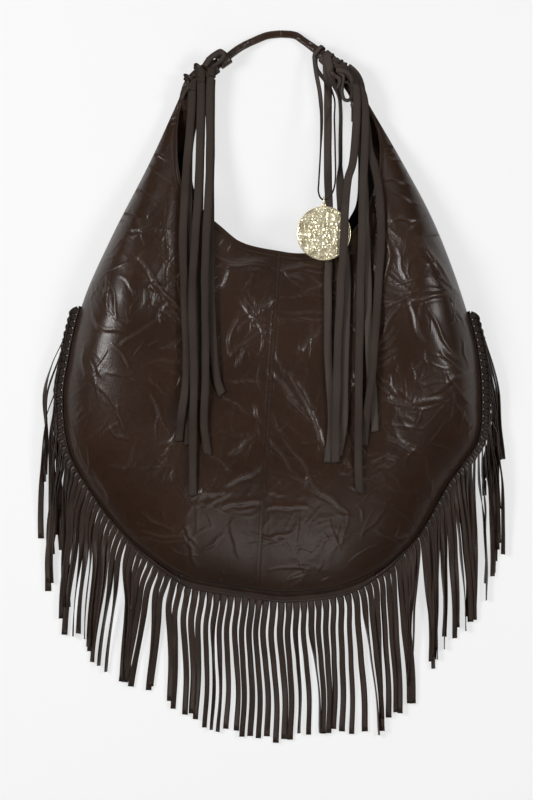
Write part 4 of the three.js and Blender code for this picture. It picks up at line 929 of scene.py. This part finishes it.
def layTail(name, route, look, index):
    centre, top = hitchFrame(name)
    line = Line(curveThrough([(centre[0] + x, centre[1] + y) for x, y in route], steps=10))
    count = int(line.length / 2.2)
    places = np.linspace(0, line.length, count)
    plan = line.at(places / line.length)
    heading = line.heading(places / line.length)
    across = np.stack([-heading[:, 1], heading[:, 0]], axis=1)
    width = thongs["width"] * look.get("width", 1.0)
    half = width / 2
    heights = []
    for k in range(count):
        if places[k] < 5:
            heights.append(top - thongs["embed"] if k == 0 else None)
            continue
        under = [heightUnder(*(plan[k] + across[k] * a)) for a in (-half, -half / 2, 0, half / 2, half)]
        under = [h for h in under if h is not None]
        heights.append(max(under) + thongs["lift"] if under else None)
    if heights[-1] is None:
        heights[-1] = next(h for h in reversed(heights) if h is not None)
    bottom = drapedHeights(places, heights, thongs["sag"])
    chance = random.Random(400 + index)
    phase = chance.uniform(0, 60)
    roll = 0.10 * fieldNoise(places, phase + 0 * places, 46.0, 60 + index)
    if "turn" in look:
        start, end, amount = look["turn"]
        turned = smooth((places - start) / 25) * smooth((end - places) / 25)
        roll = roll + amount * turned
        bottom = bottom + half * np.abs(np.sin(amount)) * turned
    sway = 0.35 * fieldNoise(places, phase + 9 + 0 * places, 31.0, 80 + index) * smooth(places / 40)
    bottom = bottom + thongs["standOff"] * smooth((places - 60) / 60) * smooth((line.length - places) / 30)
    centres = np.column_stack([plan + across * sway[:, None], bottom + thongs["thickness"] / 2])
    wide = np.column_stack([across * np.cos(roll)[:, None], np.sin(roll)])
    widths = width * (1 + 0.05 * fieldNoise(places, phase + 0 * places, 24.0, 90 + index))
    # before it hangs, the thong comes up round the outer edge of the strap
    side, distance = thongs["hitches"][name]
    strap = straps[side]
    share = (distance + look.get("slip", 0.0)) / strap.length
    middle, along, crossing, front = strap.frameAt(share)
    outer = 1 if strap.left else -1
    wrapHalf = strap.widthAt(share) / 2 + 0.7
    wrapRise = handle["thickness"] / 2 + 1.2 + thongs["thickness"] * look.get("layer", 0.0)
    wrap = [middle + crossing * outer * a * wrapHalf + front * f * wrapRise
            for a, f in ((0.1, -1), (0.75, -0.95), (0.98, -0.4), (1.0, 0.3), (0.8, 0.95), (0.4, 1.12))]
    keep = int(np.argmax(places > 9))
    joined = curveThrough([*wrap, *centres[keep:keep + 2]], 6)[:-7]
    turn = np.linspace(0, 1, len(joined))[:, None]
    wrapWide = unit(mix(along * (-1 if strap.left else 1) * outer, wide[keep], smooth(turn)))
    centres = np.vstack([joined, centres[keep:]])
    wide = np.vstack([wrapWide * (1 if (wrapWide[0] @ wide[keep]) > 0 else -1), wide[keep:]])
    widths = np.concatenate([np.full(len(joined), widths[keep]), widths[keep:]])
    places = np.concatenate([np.full(len(joined), places[keep]), places[keep:]])
    heading = np.vstack([np.tile(heading[keep], (len(joined), 1)), heading[keep:]])
    count = len(centres)
    strip = ribbon(centres, wide, widths, thongs["thickness"], corner=0.4)
    # the cut end is a little slanted
    slant = chance.uniform(-0.5, 0.5)
    ring = strip["points"].reshape(count, 12, 3)
    for k in range(count - 3, count):
        aside = (ring[k] - centres[k]) @ wide[k]
        ring[k] += np.append(heading[k], 0) * (slant * aside * (k - count + 4) / 3)[:, None]
    strip["points"] = ring.reshape(-1, 3)
    # The edges stay a little darker as painted shade, and some tails are given a lighter colour as a whole.
    tone = look.get("tone", 0.0) + 0.15 * fieldNoise(np.repeat(places, 12), phase + 0 * np.repeat(places, 12), 40, 33)
    strip["wearAndPaintedLight"] = np.clip(0.25 * strip["wearAndPaintedLight"] + tone, 0, 1)
    remember(strip)
    hitchParts[name].append(strip)


for name, (side, distance) in thongs["hitches"].items():
    width = thongs["hitchWidth"] if side == "right" else thongs["hitchWidth"] * 0.7
    winding = bandRound(side, distance, width, thongs["thickness"], tilt=1.2)
    hitchParts[name].append(winding)
    remember(winding)
    if side == "right":
        hitchParts[name].append(bandRound(side, distance - 5.2, 5.6, thongs["thickness"],
                                          clearance=0.1, tilt=-1.4, spread=0.5))
for index, (name, route, look) in enumerate(thongs["tails"]):
    layTail(name, route, look, index)

# Medallion: a hammered disc on a ring, under the bottom of the lace loop.
medallion = {
    "radius": 27.0, "thickness": 2.2, "cell": 4.0, "bowl": 0.6, "rimWidth": 1.3,
    "earHole": 1.0, "earBar": 1.3, "wire": 1.1, "ringInner": 3.6, "middle": 47.695,
    "swingX": 51.466, "swingY": 222.88, "laceOffset": 0.9, "seed": 5,
    "coverTurns": (7, 14, 21),
}
ringRadius = medallion["ringInner"] + medallion["wire"] / 2
ringY = medallion["swingY"] - medallion["laceOffset"]
earY = ringY - ringRadius
discY = earY - medallion["earHole"] - 0.3 - medallion["radius"]


def hammeredFace(x, y, seed):
    chance = np.random.RandomState(seed)
    cell = medallion["cell"]
    spots = []
    for i in range(-8, 9):
        for j in range(-9, 10):
            spots.append((cell * (i + 0.5 * (j % 2)), cell * 0.87 * j))
    spots = np.array(spots) + chance.uniform(-0.36, 0.36, (len(spots), 2)) * cell
    depth = chance.uniform(0.55, 1.0, len(spots))
    size = chance.uniform(0.85, 1.2, len(spots)) * cell * 0.62
    tilt = chance.uniform(-0.05, 0.05, (len(spots), 2))
    dx, dy = x[..., None] - spots[:, 0], y[..., None] - spots[:, 1]
    bowls = (dx**2 + dy**2) / size**2 * depth + (1 - depth) + dx * tilt[:, 0] + dy * tilt[:, 1]
    return np.minimum(bowls.min(axis=-1), 1.0) - 1.0


def makeMedallion():
    radii = np.concatenate([np.linspace(0.25, medallion["radius"] - medallion["rimWidth"] - 0.1, 74),
                            medallion["radius"] - medallion["rimWidth"] + np.array([0.05, 0.2, 0.5, 0.9])])
    angle = np.linspace(0, tau, 260, endpoint=False)
    half = medallion["thickness"] / 2
    rings = []
    for face in (1, -1):
        r, a = np.meshgrid(radii, angle, indexing="ij")
        x, y = r * np.cos(a), r * np.sin(a)
        dish = medallion["bowl"] * hammeredFace(x, y, medallion["seed"] + face)
        onRim = smooth((r - medallion["radius"] + medallion["rimWidth"] + 0.25) / 0.4)
        z = half - 0.12 + dish * (1 - onRim) + 0.12 * onRim
        rings.append(np.stack([x, y, face * z], axis=-1))
    turns = []
    for k, t in enumerate(np.linspace(0.5, -0.5, 7) * math.pi):
        r = medallion["radius"] - 0.4 + 0.4 * math.cos(t)
        lift = half * math.sin(t) * 0.98
        turns.append(np.stack([r * np.cos(angle), r * np.sin(angle), lift + 0 * angle], axis=-1))
    grid = np.concatenate([rings[0], np.array(turns), rings[1][::-1]])
    faces = gridFaces(len(grid), len(angle), loop=True, flip=True)
    faces.append(tuple(range(len(angle))))
    faces.append(tuple(len(grid) * len(angle) - 1 - k for k in range(len(angle))))
    points = grid.reshape(-1, 3) + np.array([medallion["swingX"], discY, medallion["middle"]])
    return {"points": points, "faces": faces}


# The top of the disc when it has swung by turn degrees, for the tails to lie on.
def discCover(turn):
    lean = math.radians(turn)
    drop = medallion["swingY"] - discY
    angle = np.linspace(0, tau, 48, endpoint=False)
    x = medallion["swingX"] + drop * math.sin(lean) + medallion["radius"] * np.cos(angle)
    y = medallion["swingY"] - drop * math.cos(lean) + medallion["radius"] * np.sin(angle)
    top = medallion["middle"] + medallion["thickness"] / 2
    return {"points": np.column_stack([x, y, top + 0 * x]), "faces": [tuple(range(len(angle)))]}


def makeTorus(centre, major, minor, axis, around=64, section=16, flatten=1.0):
    u = np.linspace(0, tau, around, endpoint=False)[:, None]
    w = np.linspace(0, tau, section, endpoint=False)[None, :]
    ring = major + minor * np.cos(w)
    a, b, c = ring * np.cos(u), ring * np.sin(u), flatten * minor * np.sin(w) + 0 * u
    xyz = np.stack([c, a, b] if axis == "x" else [a, b, c], axis=-1)
    points = xyz.reshape(-1, 3) + np.array(centre)
    faces = gridFaces(around, section, loop=True)
    end = (around - 1) * section
    faces += [(end + k, end + (k + 1) % section, (k + 1) % section, k) for k in range(section)]
    return {"points": points, "faces": faces}


ear = makeTorus((medallion["swingX"], earY, medallion["middle"]),
                medallion["earHole"] + medallion["earBar"] / 2, medallion["earBar"] / 2, "z", 40, 14, 1.35)
discPart = makeMedallion()
makePiece("hammered_medallion", [discPart, ear], paleGold, body="medallion",
          replaced=["medallion"])
makePiece("jump_ring_wire", [makeTorus((medallion["swingX"], ringY, medallion["middle"]), ringRadius,
                                       medallion["wire"] / 2, "x")],
          paleGold, body="jump_ring", replaced=["jump_ring"])
remember(discPart)
for turn in medallion["coverTurns"]:
    remember(discCover(turn))
for index, tail in enumerate(thongs["overDisc"], len(thongs["tails"])):
    layTail(*tail, index)

# The right thongs are knotted: a teardrop fold and an open loop show in front of the tails.
knots = {
    "right_2": [{"view": [(331, 72), (334.5, 76), (339, 78.5), (339.5, 83), (336.5, 88.5), (334, 84),
                          (333, 79), (336, 75)], "height": 23.5, "width": 4.6}],
    "right_3": [{"view": [(338, 72), (343, 76), (342.5, 84), (342, 93), (344.5, 100), (349, 100.5),
                          (351.5, 95), (351.5, 88), (348, 83), (343.5, 82)], "height": 24.0, "width": 4.0},
                {"view": [(336, 70), (342, 71), (347, 73), (351, 78), (352, 84)], "height": 27.0,
                 "width": 6.0}],
    "left_3": [{"view": [(205, 66), (209.5, 59.5), (215, 55), (221, 52), (224, 56), (220, 62),
                         (213, 67)], "height": 24.0, "width": 6.4}],
    "left_1": [{"view": [(181, 99), (184.5, 92), (189, 86), (194, 81), (199, 78)], "height": 20.5,
                "width": 4.6}],
}
for name, folds in knots.items():
    for fold in folds:
        plan = curveThrough(fromView(fold["view"]), 8)
        rise = np.full(len(plan), fold["height"]) + 1.2 * np.sin(np.linspace(0, math.pi, len(plan)))
        centres = np.column_stack([plan, rise])
        ahead = unit(np.gradient(plan, axis=0))
        lean = np.linspace(0.5, 1.1, len(plan))
        wide = np.column_stack([-ahead[:, 1] * np.cos(lean), ahead[:, 0] * np.cos(lean), np.sin(lean)])
        hitchParts[name].append(ribbon(centres, wide, fold["width"], thongs["thickness"], corner=0.4))
for name, parts in hitchParts.items():
    makePiece(f"thong_{name}", parts, thongLeather, replaced=[f"tassel_thong_{name}"])
print("thongs and medallion made")

# The lace loop goes once round the strap, and its legs turn from flat to edge-on on the way down.
lace = {
    "distance": 67.5, "width": 4.2, "thickness": 1.6,
    "leftLeg": [(-3.3, 1.9, 1, 1), (-5.4, 8, 1, 1), (-5.1, 17, 0.97, 1), (-3.6, 42, 0.8, 1),
                (-2, 82, 0.5, 0.6), (-3.6, 107, 0.3, 0.1), (-7.6, 130, 0.12, 0)],
    "rightLeg": [(-6.8, 134, -0.36, 0), (3, 120, -0.3, 0), (10.8, 104, -0.14, 1),
                 (10.9, 82, 0.15, 1), (11.4, 52, 0.6, 1), (11, 16, 0.97, 1), (8, 6, 1, 1),
                 (4, 1, 1, 1)],
    "turn": [(1, 0.6), (0.75, 1), (-0.75, 1), (-1, 0.6), (-1, -0.6), (-0.75, -1), (0.75, -1),
             (1, -0.8)],
}


def makeLaceLoop():
    strap = straps["right"]
    share = lace["distance"] / strap.length
    centre, along, across, front = strap.frameAt(share)
    half = strap.widthAt(share) / 2 + 0.9 + lace["thickness"] / 2
    rise = handle["thickness"] / 2 + 0.9 + lace["thickness"] / 2
    strapTop = centre[2] + rise
    knots = [((medallion["swingX"], medallion["swingY"], medallion["middle"]), (0, 0, 1))]

    def leg(rows):
        for x, y, height, twist in rows:
            place = (medallion["swingX"] + x, medallion["swingY"] + y,
                     mix(strapTop, medallion["middle"], height))
            knots.append((place, (-(1 - twist), 0, twist)))

    leg(lace["leftLeg"])
    for a, f in lace["turn"]:
        knots.append((tuple(centre + across * a * half + front * f * rise), tuple(along)))
    leg(lace["rightLeg"])
    steps = 10
    path = curveThrough([place for place, _ in knots], steps, closed=True)[:-1]
    wide = np.array([w for _, w in knots], float)
    nextWide = np.roll(wide, -1, axis=0)
    t = smooth(np.linspace(0, 1, steps, endpoint=False))[None, :, None]
    widths = unit((wide[:, None] * (1 - t) + nextWide[:, None] * t).reshape(-1, 3))
    return ribbon(path, widths, lace["width"], lace["thickness"], corner=0.4, closed=True)


makePiece("lace_loop", [makeLaceLoop()], thongLeather, replaced=["medallion_loop"])
print("lace made")

# Fringe: bands sewn into the bottom seam and cut into strips. Each row of "fall" is a share of the
# seam's length and how far a strip's tip hangs from its root there.
fringe = {
    "pitch": 7.0, "width": 6.3, "thickness": 0.9, "bandBottom": 10.0, "bandSide": 2.5,
    "tuck": 6.0, "bottomLength": 198.0, "bottomShift": 8.0, "sway": 2.2, "swayPeriod": 47.0,
    "curtainLength": 120.0, "curtainBlend": 80.0, "nestGap": 0.35, "bendReach": 6.2, "bendLength": 1.8,
    "stations": 42,
    "fall": [
        (0, -40, -147), (0.07, -38, -150), (0.115, -36, -155), (0.18, -27, -151),
        (0.218, -26, -150), (0.278, -20, -144), (0.315, -17, -141), (0.355, -18, -132),
        (0.378, -19, -126), (0.386, -8, -136), (0.438, -8, -145), (0.507, 1, -147),
        (0.579, 5, -143), (0.603, 10, -152), (0.607, 15, -156), (0.651, 14, -152),
        (0.721, 12, -147), (0.786, 16, -157), (0.825, 18, -158), (0.86, 22, -150),
        (0.933, 28, -146), (1, 33, -145),
    ],
}
fringeStart = body["fringeStart"]
fringeEnd = edge.line.length - fringeStart
seamMiddle = (fringeStart + fringeEnd) / 2 + fringe["bottomShift"]
partings = (seamMiddle - fringe["bottomLength"] / 2, seamMiddle + fringe["bottomLength"] / 2)
fall = np.array(fringe["fall"], float)


def edgeFrame(arc):
    share = np.asarray(arc, float) / edge.line.length
    tangent = edge.line.heading(share)
    return edge.line.at(share), tangent, np.stack([tangent[..., 1], -tangent[..., 0]], axis=-1)


def fallAt(arc, beside):
    share = np.clip((arc - fringeStart) / (fringeEnd - fringeStart), 0, 1)
    sway = fringe["sway"] * (1 - beside) * math.sin(arc * tau / fringe["swayPeriod"])
    return np.array([np.interp(share, fall[:, 0], fall[:, 1]) + sway,
                     np.interp(share, fall[:, 0], fall[:, 2])])


# The way that one strip takes from its band to its tip.
class StripPath:
    def __init__(self, arc, longer=0.0, drift=0.0, swing=0.0):
        point, tangent, outward = edgeFrame(arc)
        self.beside = float(smooth((abs(tangent[1]) - 0.25) / 0.5))
        band = mix(fringe["bandBottom"], fringe["bandSide"], self.beside)
        hang = fallAt(arc, self.beside) * (1 + longer) + np.array([drift, 0])
        tip, root = point + hang, point + outward * band
        guide = root + outward * mix(24, 9, self.beside)
        above = np.array([tip[0] - hang[0] * 0.3, tip[1] + 52])
        self.corners = [root, guide, above, tip]
        fromEnd = min(arc - fringeStart, fringeEnd - arc)
        self.curtain = float(1 - smooth((fromEnd - fringe["curtainLength"]) / fringe["curtainBlend"]))
        self.drop = -hang[1]
        if self.curtain > 0:
            side = math.copysign(1, outward[0])
            self.drops = np.arange(0, self.drop + 2, 1.75)
            passed, _, out = edgeFrame(arc - side * self.drops)
            offset = (fringe["bandSide"] + swing * smooth(self.drops / 34)
                      + fringe["bendReach"] * (1 - np.exp(-self.drops / fringe["bendLength"]))
                      + fringe["nestGap"] * self.drops / fringe["pitch"])
            reach = np.maximum.accumulate(side * (passed[:, 0] + out[:, 0] * offset))
            self.curtainX = side * reach + drift * smooth(self.drops / self.drop)
            self.curtainY = point[1] + outward[1] * fringe["bandSide"]

    def at(self, t):
        a, b, c, d = self.corners
        t = np.asarray(t, float)
        s = t[:, None]
        plan = a * (1 - s)**3 + 3 * b * s * (1 - s)**2 + 3 * c * s**2 * (1 - s) + d * s**3
        if self.curtain > 0:
            dropped = np.column_stack([np.interp(self.drop * t, self.drops, self.curtainX),
                                       self.curtainY - self.drop * t])
            plan = mix(plan, dropped, self.curtain)
        settled = (1 - t) ** mix(2.6, 1.15, self.beside)
        return np.column_stack([plan, mix(fringe["thickness"], body["seamHeight"], settled)])


# Strips that crowd lie over each other like tiles: each rolls just far enough to clear the next.
def stripRoll(arc, t, heading):
    gap = (StripPath(arc + fringe["pitch"] / 2).at(t) - StripPath(arc - fringe["pitch"] / 2).at(t))
    run = np.linalg.norm(heading[:, :2], axis=1)
    flat = heading[:, :2] / run[:, None]
    pitch = flat[:, 0] * gap[:, 1] - flat[:, 1] * gap[:, 0]
    rise = gap[:, 2] - heading[:, 2] / run * (gap[:, :2] * flat).sum(axis=1)
    reach = np.hypot(pitch, rise)
    need = fringe["thickness"] + 0.45
    roll = np.arcsin(np.minimum(1, need / np.maximum(reach, 1e-6))) - np.arctan2(np.abs(rise), np.abs(pitch))
    roll = np.where(np.abs(pitch) > fringe["width"] + 0.3, 0, np.clip(roll, 0, math.pi / 2))
    downhill = 1 if arc < seamMiddle else -1
    return downhill * np.where(pitch < 0, -1, 1) * roll


def makeStrip(arc, index):
    chance, clump = random.Random(900 + index), random.Random(70 + index // 3)
    t = np.linspace(0, 1, fringe["stations"]) ** 1.5
    beside = float(smooth((abs(edgeFrame(arc)[1][1]) - 0.25) / 0.5))
    drift = clump.gauss(0, mix(3.4, 6.0, beside)) + chance.gauss(0, mix(1.8, 2.5, beside))
    longer = clump.uniform(-0.03, 0.02) + chance.uniform(-0.03, 0.02) - 0.06 * beside * chance.random()
    swing = chance.uniform(2, 14) if chance.random() < 0.2 else clump.uniform(-1.5, 3.0)
    path = StripPath(arc, longer, drift, swing)
    centres = path.at(t)
    heading = unit(np.gradient(centres, axis=0))
    roll = stripRoll(arc, t, heading)
    kernel = np.ones(5) / 5
    roll = np.convolve(np.pad(roll, 2, mode="edge"), kernel, mode="valid")
    loose = smooth(t * 3)
    along = t * 150
    edgeOn = path.curtain * math.pi / 2 * smooth((along - 2) / 7) * mix(1, 0.75, smooth(t * 2 - 0.9))
    roll = np.where(roll < 0, -1, 1) * np.maximum(np.abs(roll), edgeOn)
    twist = chance.uniform(0.7, 1.5) if chance.random() < mix(0.34, 0.6, beside) else 0.3
    roll = roll + twist * smooth((t - chance.uniform(0.1, 0.5)) / 0.4) * chance.choice((-1, 1))
    roll = roll + loose * 0.35 * fieldNoise(along, index * 3.7 + 0 * along, 48.0, 21)
    sway = loose * 4.2 * fieldNoise(along, index * 1.9 + 0 * along, 62.0, 22)
    side = unit(np.cross([0, 0, 1.0], heading))
    face = unit(np.cross(heading, side))
    across = side * np.cos(roll)[:, None] - face * np.sin(roll)[:, None]
    out = np.cross(heading, across)
    width = fringe["width"] * (1 + 0.05 * fieldNoise(along, index * 2.3 + 0 * along, 40.0, 23))
    width = mix(fringe["pitch"] + 0.15, width * chance.uniform(0.84, 1.04),
                smooth((along - chance.uniform(0, 9)) / 15))
    centres = centres + side * sway[:, None]
    centres[:, 2] += loose * (0.5 + chance.uniform(0, 3.0) + fieldNoise(along, index * 5.1 + 0 * along, 60.0, 24))
    hangs = (width * np.abs(across[:, 2]) + fringe["thickness"] * np.abs(out[:, 2])) / 2
    centres[:, 2] = np.maximum(centres[:, 2], hangs + 0.2)
    strip = ribbon(centres, across, width, fringe["thickness"], corner=0.22)
    tone = chance.uniform(-0.12, 0.25)
    # the strip's edges stay darker as painted shade
    strip["wearAndPaintedLight"] = np.clip(strip["wearAndPaintedLight"] * 0.8 + tone, 0, 1)
    return strip


def makeBand(startArc, endArc):
    arcs = np.linspace(startArc, endArc, int((endArc - startArc) / 1.6))
    point, tangent, outward = edgeFrame(arcs)
    beside = smooth((np.abs(tangent[:, 1]) - 0.25) / 0.5)
    band = mix(fringe["bandBottom"], fringe["bandSide"], beside) + 0.6
    half = fringe["thickness"] / 2
    section = [(-fringe["tuck"], half), (-2.0, half), (0.6, half), (2.2, half)]
    rows = []
    for away, rise in section:
        rows.append((away + 0 * band, rise + 0 * band))
    for share in (0.3, 0.5, 0.7, 0.86, 0.95):
        rows.append((band * share, half + 1.1 * math.sin(share**2 * math.pi) + 0 * band))
    rows += [(band - 0.3, half + 0 * band), (band, half * 0.5 + 0 * band), (band, -half * 0.5 + 0 * band),
             (band - 0.3, -half + 0 * band), (2.2 + 0 * band, -half + 0 * band),
             (-fringe["tuck"] + 0 * band, -half + 0 * band)]
    wave = 0.35 * fieldNoise(arcs, 0 * arcs, 23.0, 71) + 0.25 * fieldNoise(arcs, 0 * arcs, 9.0, 72)
    grid = np.zeros((len(arcs), len(rows), 3))
    for k, (away, rise) in enumerate(rows):
        grid[:, k, :2] = point + outward * away[:, None]
        grid[:, k, 2] = body["seamHeight"] + rise + wave * smooth((away - 1) / 5)
        grid[:, k, 2] -= 2.2 * (1 - beside) * smooth((away + 1.5) / 1.5) * smooth((5 - away) / 3)
    faces = gridFaces(*grid.shape[:2], loop=True, flip=True)
    faces.append(tuple(range(len(rows))))
    faces.append(tuple(grid.shape[0] * len(rows) - 1 - k for k in range(len(rows))))
    return {"points": grid.reshape(-1, 3), "faces": faces, "wearAndPaintedLight": 0.15}


def makeFringe(name, startArc, endArc, first):
    count = round((endArc - startArc) / fringe["pitch"])
    pitch = (endArc - startArc) / count
    parts = [makeBand(startArc, endArc)]
    for i in range(count):
        parts.append(makeStrip(startArc + (i + 0.5) * pitch, first + i))
    makePiece(f"fringe_strips_{name}", parts, fringeLeather, replaced=[f"fringe_{name}"])
    return first + count


nextStrip = makeFringe("left", fringeStart, partings[0], 0)
nextStrip = makeFringe("bottom", *partings, nextStrip)
makeFringe("right", partings[1], fringeEnd, nextStrip)
print("fringe made")

# Stitches: short bars of thread that sit in the grooves of the panels.
stitch = {"pitch": 2.8, "length": 1.7, "radius": 0.32, "raise": 0.12}


def stitchRow(line, lift):
    line = Line(line)
    count = int(line.length / stitch["pitch"])
    shares = (np.arange(count) + 0.5) / count
    centre, heading = line.at(shares), line.heading(shares, 0.5 / line.length)
    rings, faces = [], []
    profile = [(-0.5, 0.0), (-0.5, 0.55), (-0.36, 1), (0.36, 1), (0.5, 0.55), (0.5, 0.0)]
    angle = np.linspace(0, tau, 7)[:-1]
    for k in range(count):
        side = unit(np.cross([0, 0, 1.0], heading[k]))
        top = unit(np.cross(heading[k], side))
        base = len(rings) * len(angle)
        for along, size in profile:
            r = stitch["radius"] * size
            rings.append(centre[k] + heading[k] * along * stitch["length"] + top * lift
                         + side * (r * np.cos(angle))[:, None] + top * (r * np.sin(angle))[:, None])
        faces += [tuple(base + q for q in face) for face in gridFaces(len(profile), len(angle), loop=True)]
    return {"points": np.vstack(rings), "faces": faces}


def mouthStitchLine(side):
    grid = panels["front", side]
    steps = np.linalg.norm(np.diff(grid[..., :2], axis=1), axis=-1)
    fromMouth = np.cumsum(steps[:, ::-1], axis=1)[:, ::-1]
    fromMouth = np.concatenate([fromMouth, np.zeros((len(grid), 1))], axis=1)
    line = []
    for column, far in zip(grid[6:], fromMouth[6:]):
        if far[0] < 10:
            continue
        line.append([np.interp(-panelMesh["stitchInset"], -far, column[:, k]) for k in range(3)])
    return np.array(line)


def seamStitchLine(side):
    grid = panels["front", side]
    away = np.linalg.norm(grid[:, :, :2] - grid[-1:, :, :2], axis=-1)
    line = []
    for r in range(3, grid.shape[1] - 2):
        line.append([np.interp(-panelMesh["seamInset"], -away[:, r], grid[:, r, k]) for k in range(3)])
    return np.array(line)


stitchParts = []
for side in ("left", "right"):
    stitchParts.append(stitchRow(mouthStitchLine(side), stitch["raise"]))
    stitchParts.append(stitchRow(seamStitchLine(side), stitch["raise"]))
makePiece("panel_stitches", stitchParts, stitchThread)
print("stitches made")

# Floor, lamps, world and camera
studio = {
    "floorColour": 0.27, "floorGlow": 0.63, "worldLow": 0.55, "worldHigh": 0.07,
    "lamps": [
        {"name": "lampLeft", "place": (-1.35, 0.36, 1.5), "size": 0.75, "power": 33.0},
        {"name": "lampRight", "place": (1.25, 0.3, 1.5), "size": 0.65, "power": 18.0},
        {"name": "lampTop", "place": (0.0, 1.5, 1.2), "size": 1.0, "power": 3.5},
        {"name": "lampBottom", "place": (0.1, -1.5, 1.5), "size": 1.2, "power": 9.0},
    ],
    "target": (0.0, 0.03, 0.03),
}


def makeFloor():
    mesh = bpy.data.meshes.new("floor")
    corners = [(-6, -6, -0.0005), (6, -6, -0.0005), (6, 6, -0.0005), (-6, 6, -0.0005)]
    mesh.from_pydata(corners, [], [(0, 1, 2, 3)])
    floor = bpy.data.objects.new("floor", mesh)
    bpy.context.scene.collection.objects.link(floor)
    material, tree, shader = startMaterial("floorPaper")
    shader.inputs["Base Color"].default_value = (studio["floorColour"],) * 3 + (1,)
    shader.inputs["Roughness"].default_value = 1.0
    shader.inputs["Specular IOR Level"].default_value = 0.0
    seen = tree.nodes.new("ShaderNodeLightPath")
    either = node(tree, "ShaderNodeMath", operation="MAXIMUM")
    three = node(tree, "ShaderNodeMath", operation="MAXIMUM")
    glow = node(tree, "ShaderNodeEmission")
    strength = node(tree, "ShaderNodeMath", operation="MULTIPLY")
    strength.inputs[1].default_value = studio["floorGlow"]
    both = tree.nodes.new("ShaderNodeAddShader")
    tree.links.new(seen.outputs["Is Camera Ray"], either.inputs[0])
    tree.links.new(seen.outputs["Is Glossy Ray"], either.inputs[1])
    tree.links.new(either.outputs[0], three.inputs[0])
    tree.links.new(seen.outputs["Is Transmission Ray"], three.inputs[1])
    tree.links.new(three.outputs[0], strength.inputs[0])
    tree.links.new(strength.outputs[0], glow.inputs["Strength"])
    tree.links.new(shader.outputs["BSDF"], both.inputs[0])
    tree.links.new(glow.outputs["Emission"], both.inputs[1])
    tree.links.new(both.outputs[0], tree.nodes["Material Output"].inputs["Surface"])
    mesh.materials.append(material)


def makeWorld():
    world = bpy.data.worlds.new("studio")
    world.use_nodes = True
    bpy.context.scene.world = world
    tree = world.node_tree
    backdrop = tree.nodes["Background"]
    place = tree.nodes.new("ShaderNodeTexCoord")
    split = tree.nodes.new("ShaderNodeSeparateXYZ")
    ramp = tree.nodes.new("ShaderNodeMapRange")
    ramp.inputs["From Min"].default_value = 0.25
    ramp.inputs["From Max"].default_value = 0.92
    ramp.inputs["To Min"].default_value = studio["worldLow"]
    ramp.inputs["To Max"].default_value = studio["worldHigh"]
    tree.links.new(place.outputs["Generated"], split.inputs["Vector"])
    tree.links.new(split.outputs["Z"], ramp.inputs["Value"])
    tree.links.new(ramp.outputs["Result"], backdrop.inputs["Strength"])


def makeLamps():
    for lamp in studio["lamps"]:
        light = bpy.data.lights.new(lamp["name"], "AREA")
        light.shape = "DISK"
        light.size = lamp["size"]
        light.energy = lamp["power"]
        holder = bpy.data.objects.new(lamp["name"], light)
        holder.location = lamp["place"]
        aim = Vector(studio["target"]) - Vector(lamp["place"])
        holder.rotation_euler = aim.to_track_quat("-Z", "Y").to_euler()
        bpy.context.scene.collection.objects.link(holder)


def makeCamera():
    data = bpy.data.cameras.new("camera")
    data.sensor_fit = "VERTICAL"
    data.sensor_height = 36.0
    data.lens = 180.0
    camera = bpy.data.objects.new("camera", data)
    camera.location = (-0.0055, 0.024, 4.02)
    bpy.context.scene.collection.objects.link(camera)
    bpy.context.scene.camera = camera


makeFloor()
makeWorld()
makeLamps()
makeCamera()
bpy.context.scene.view_settings.view_transform = "Standard"
print("studio made")
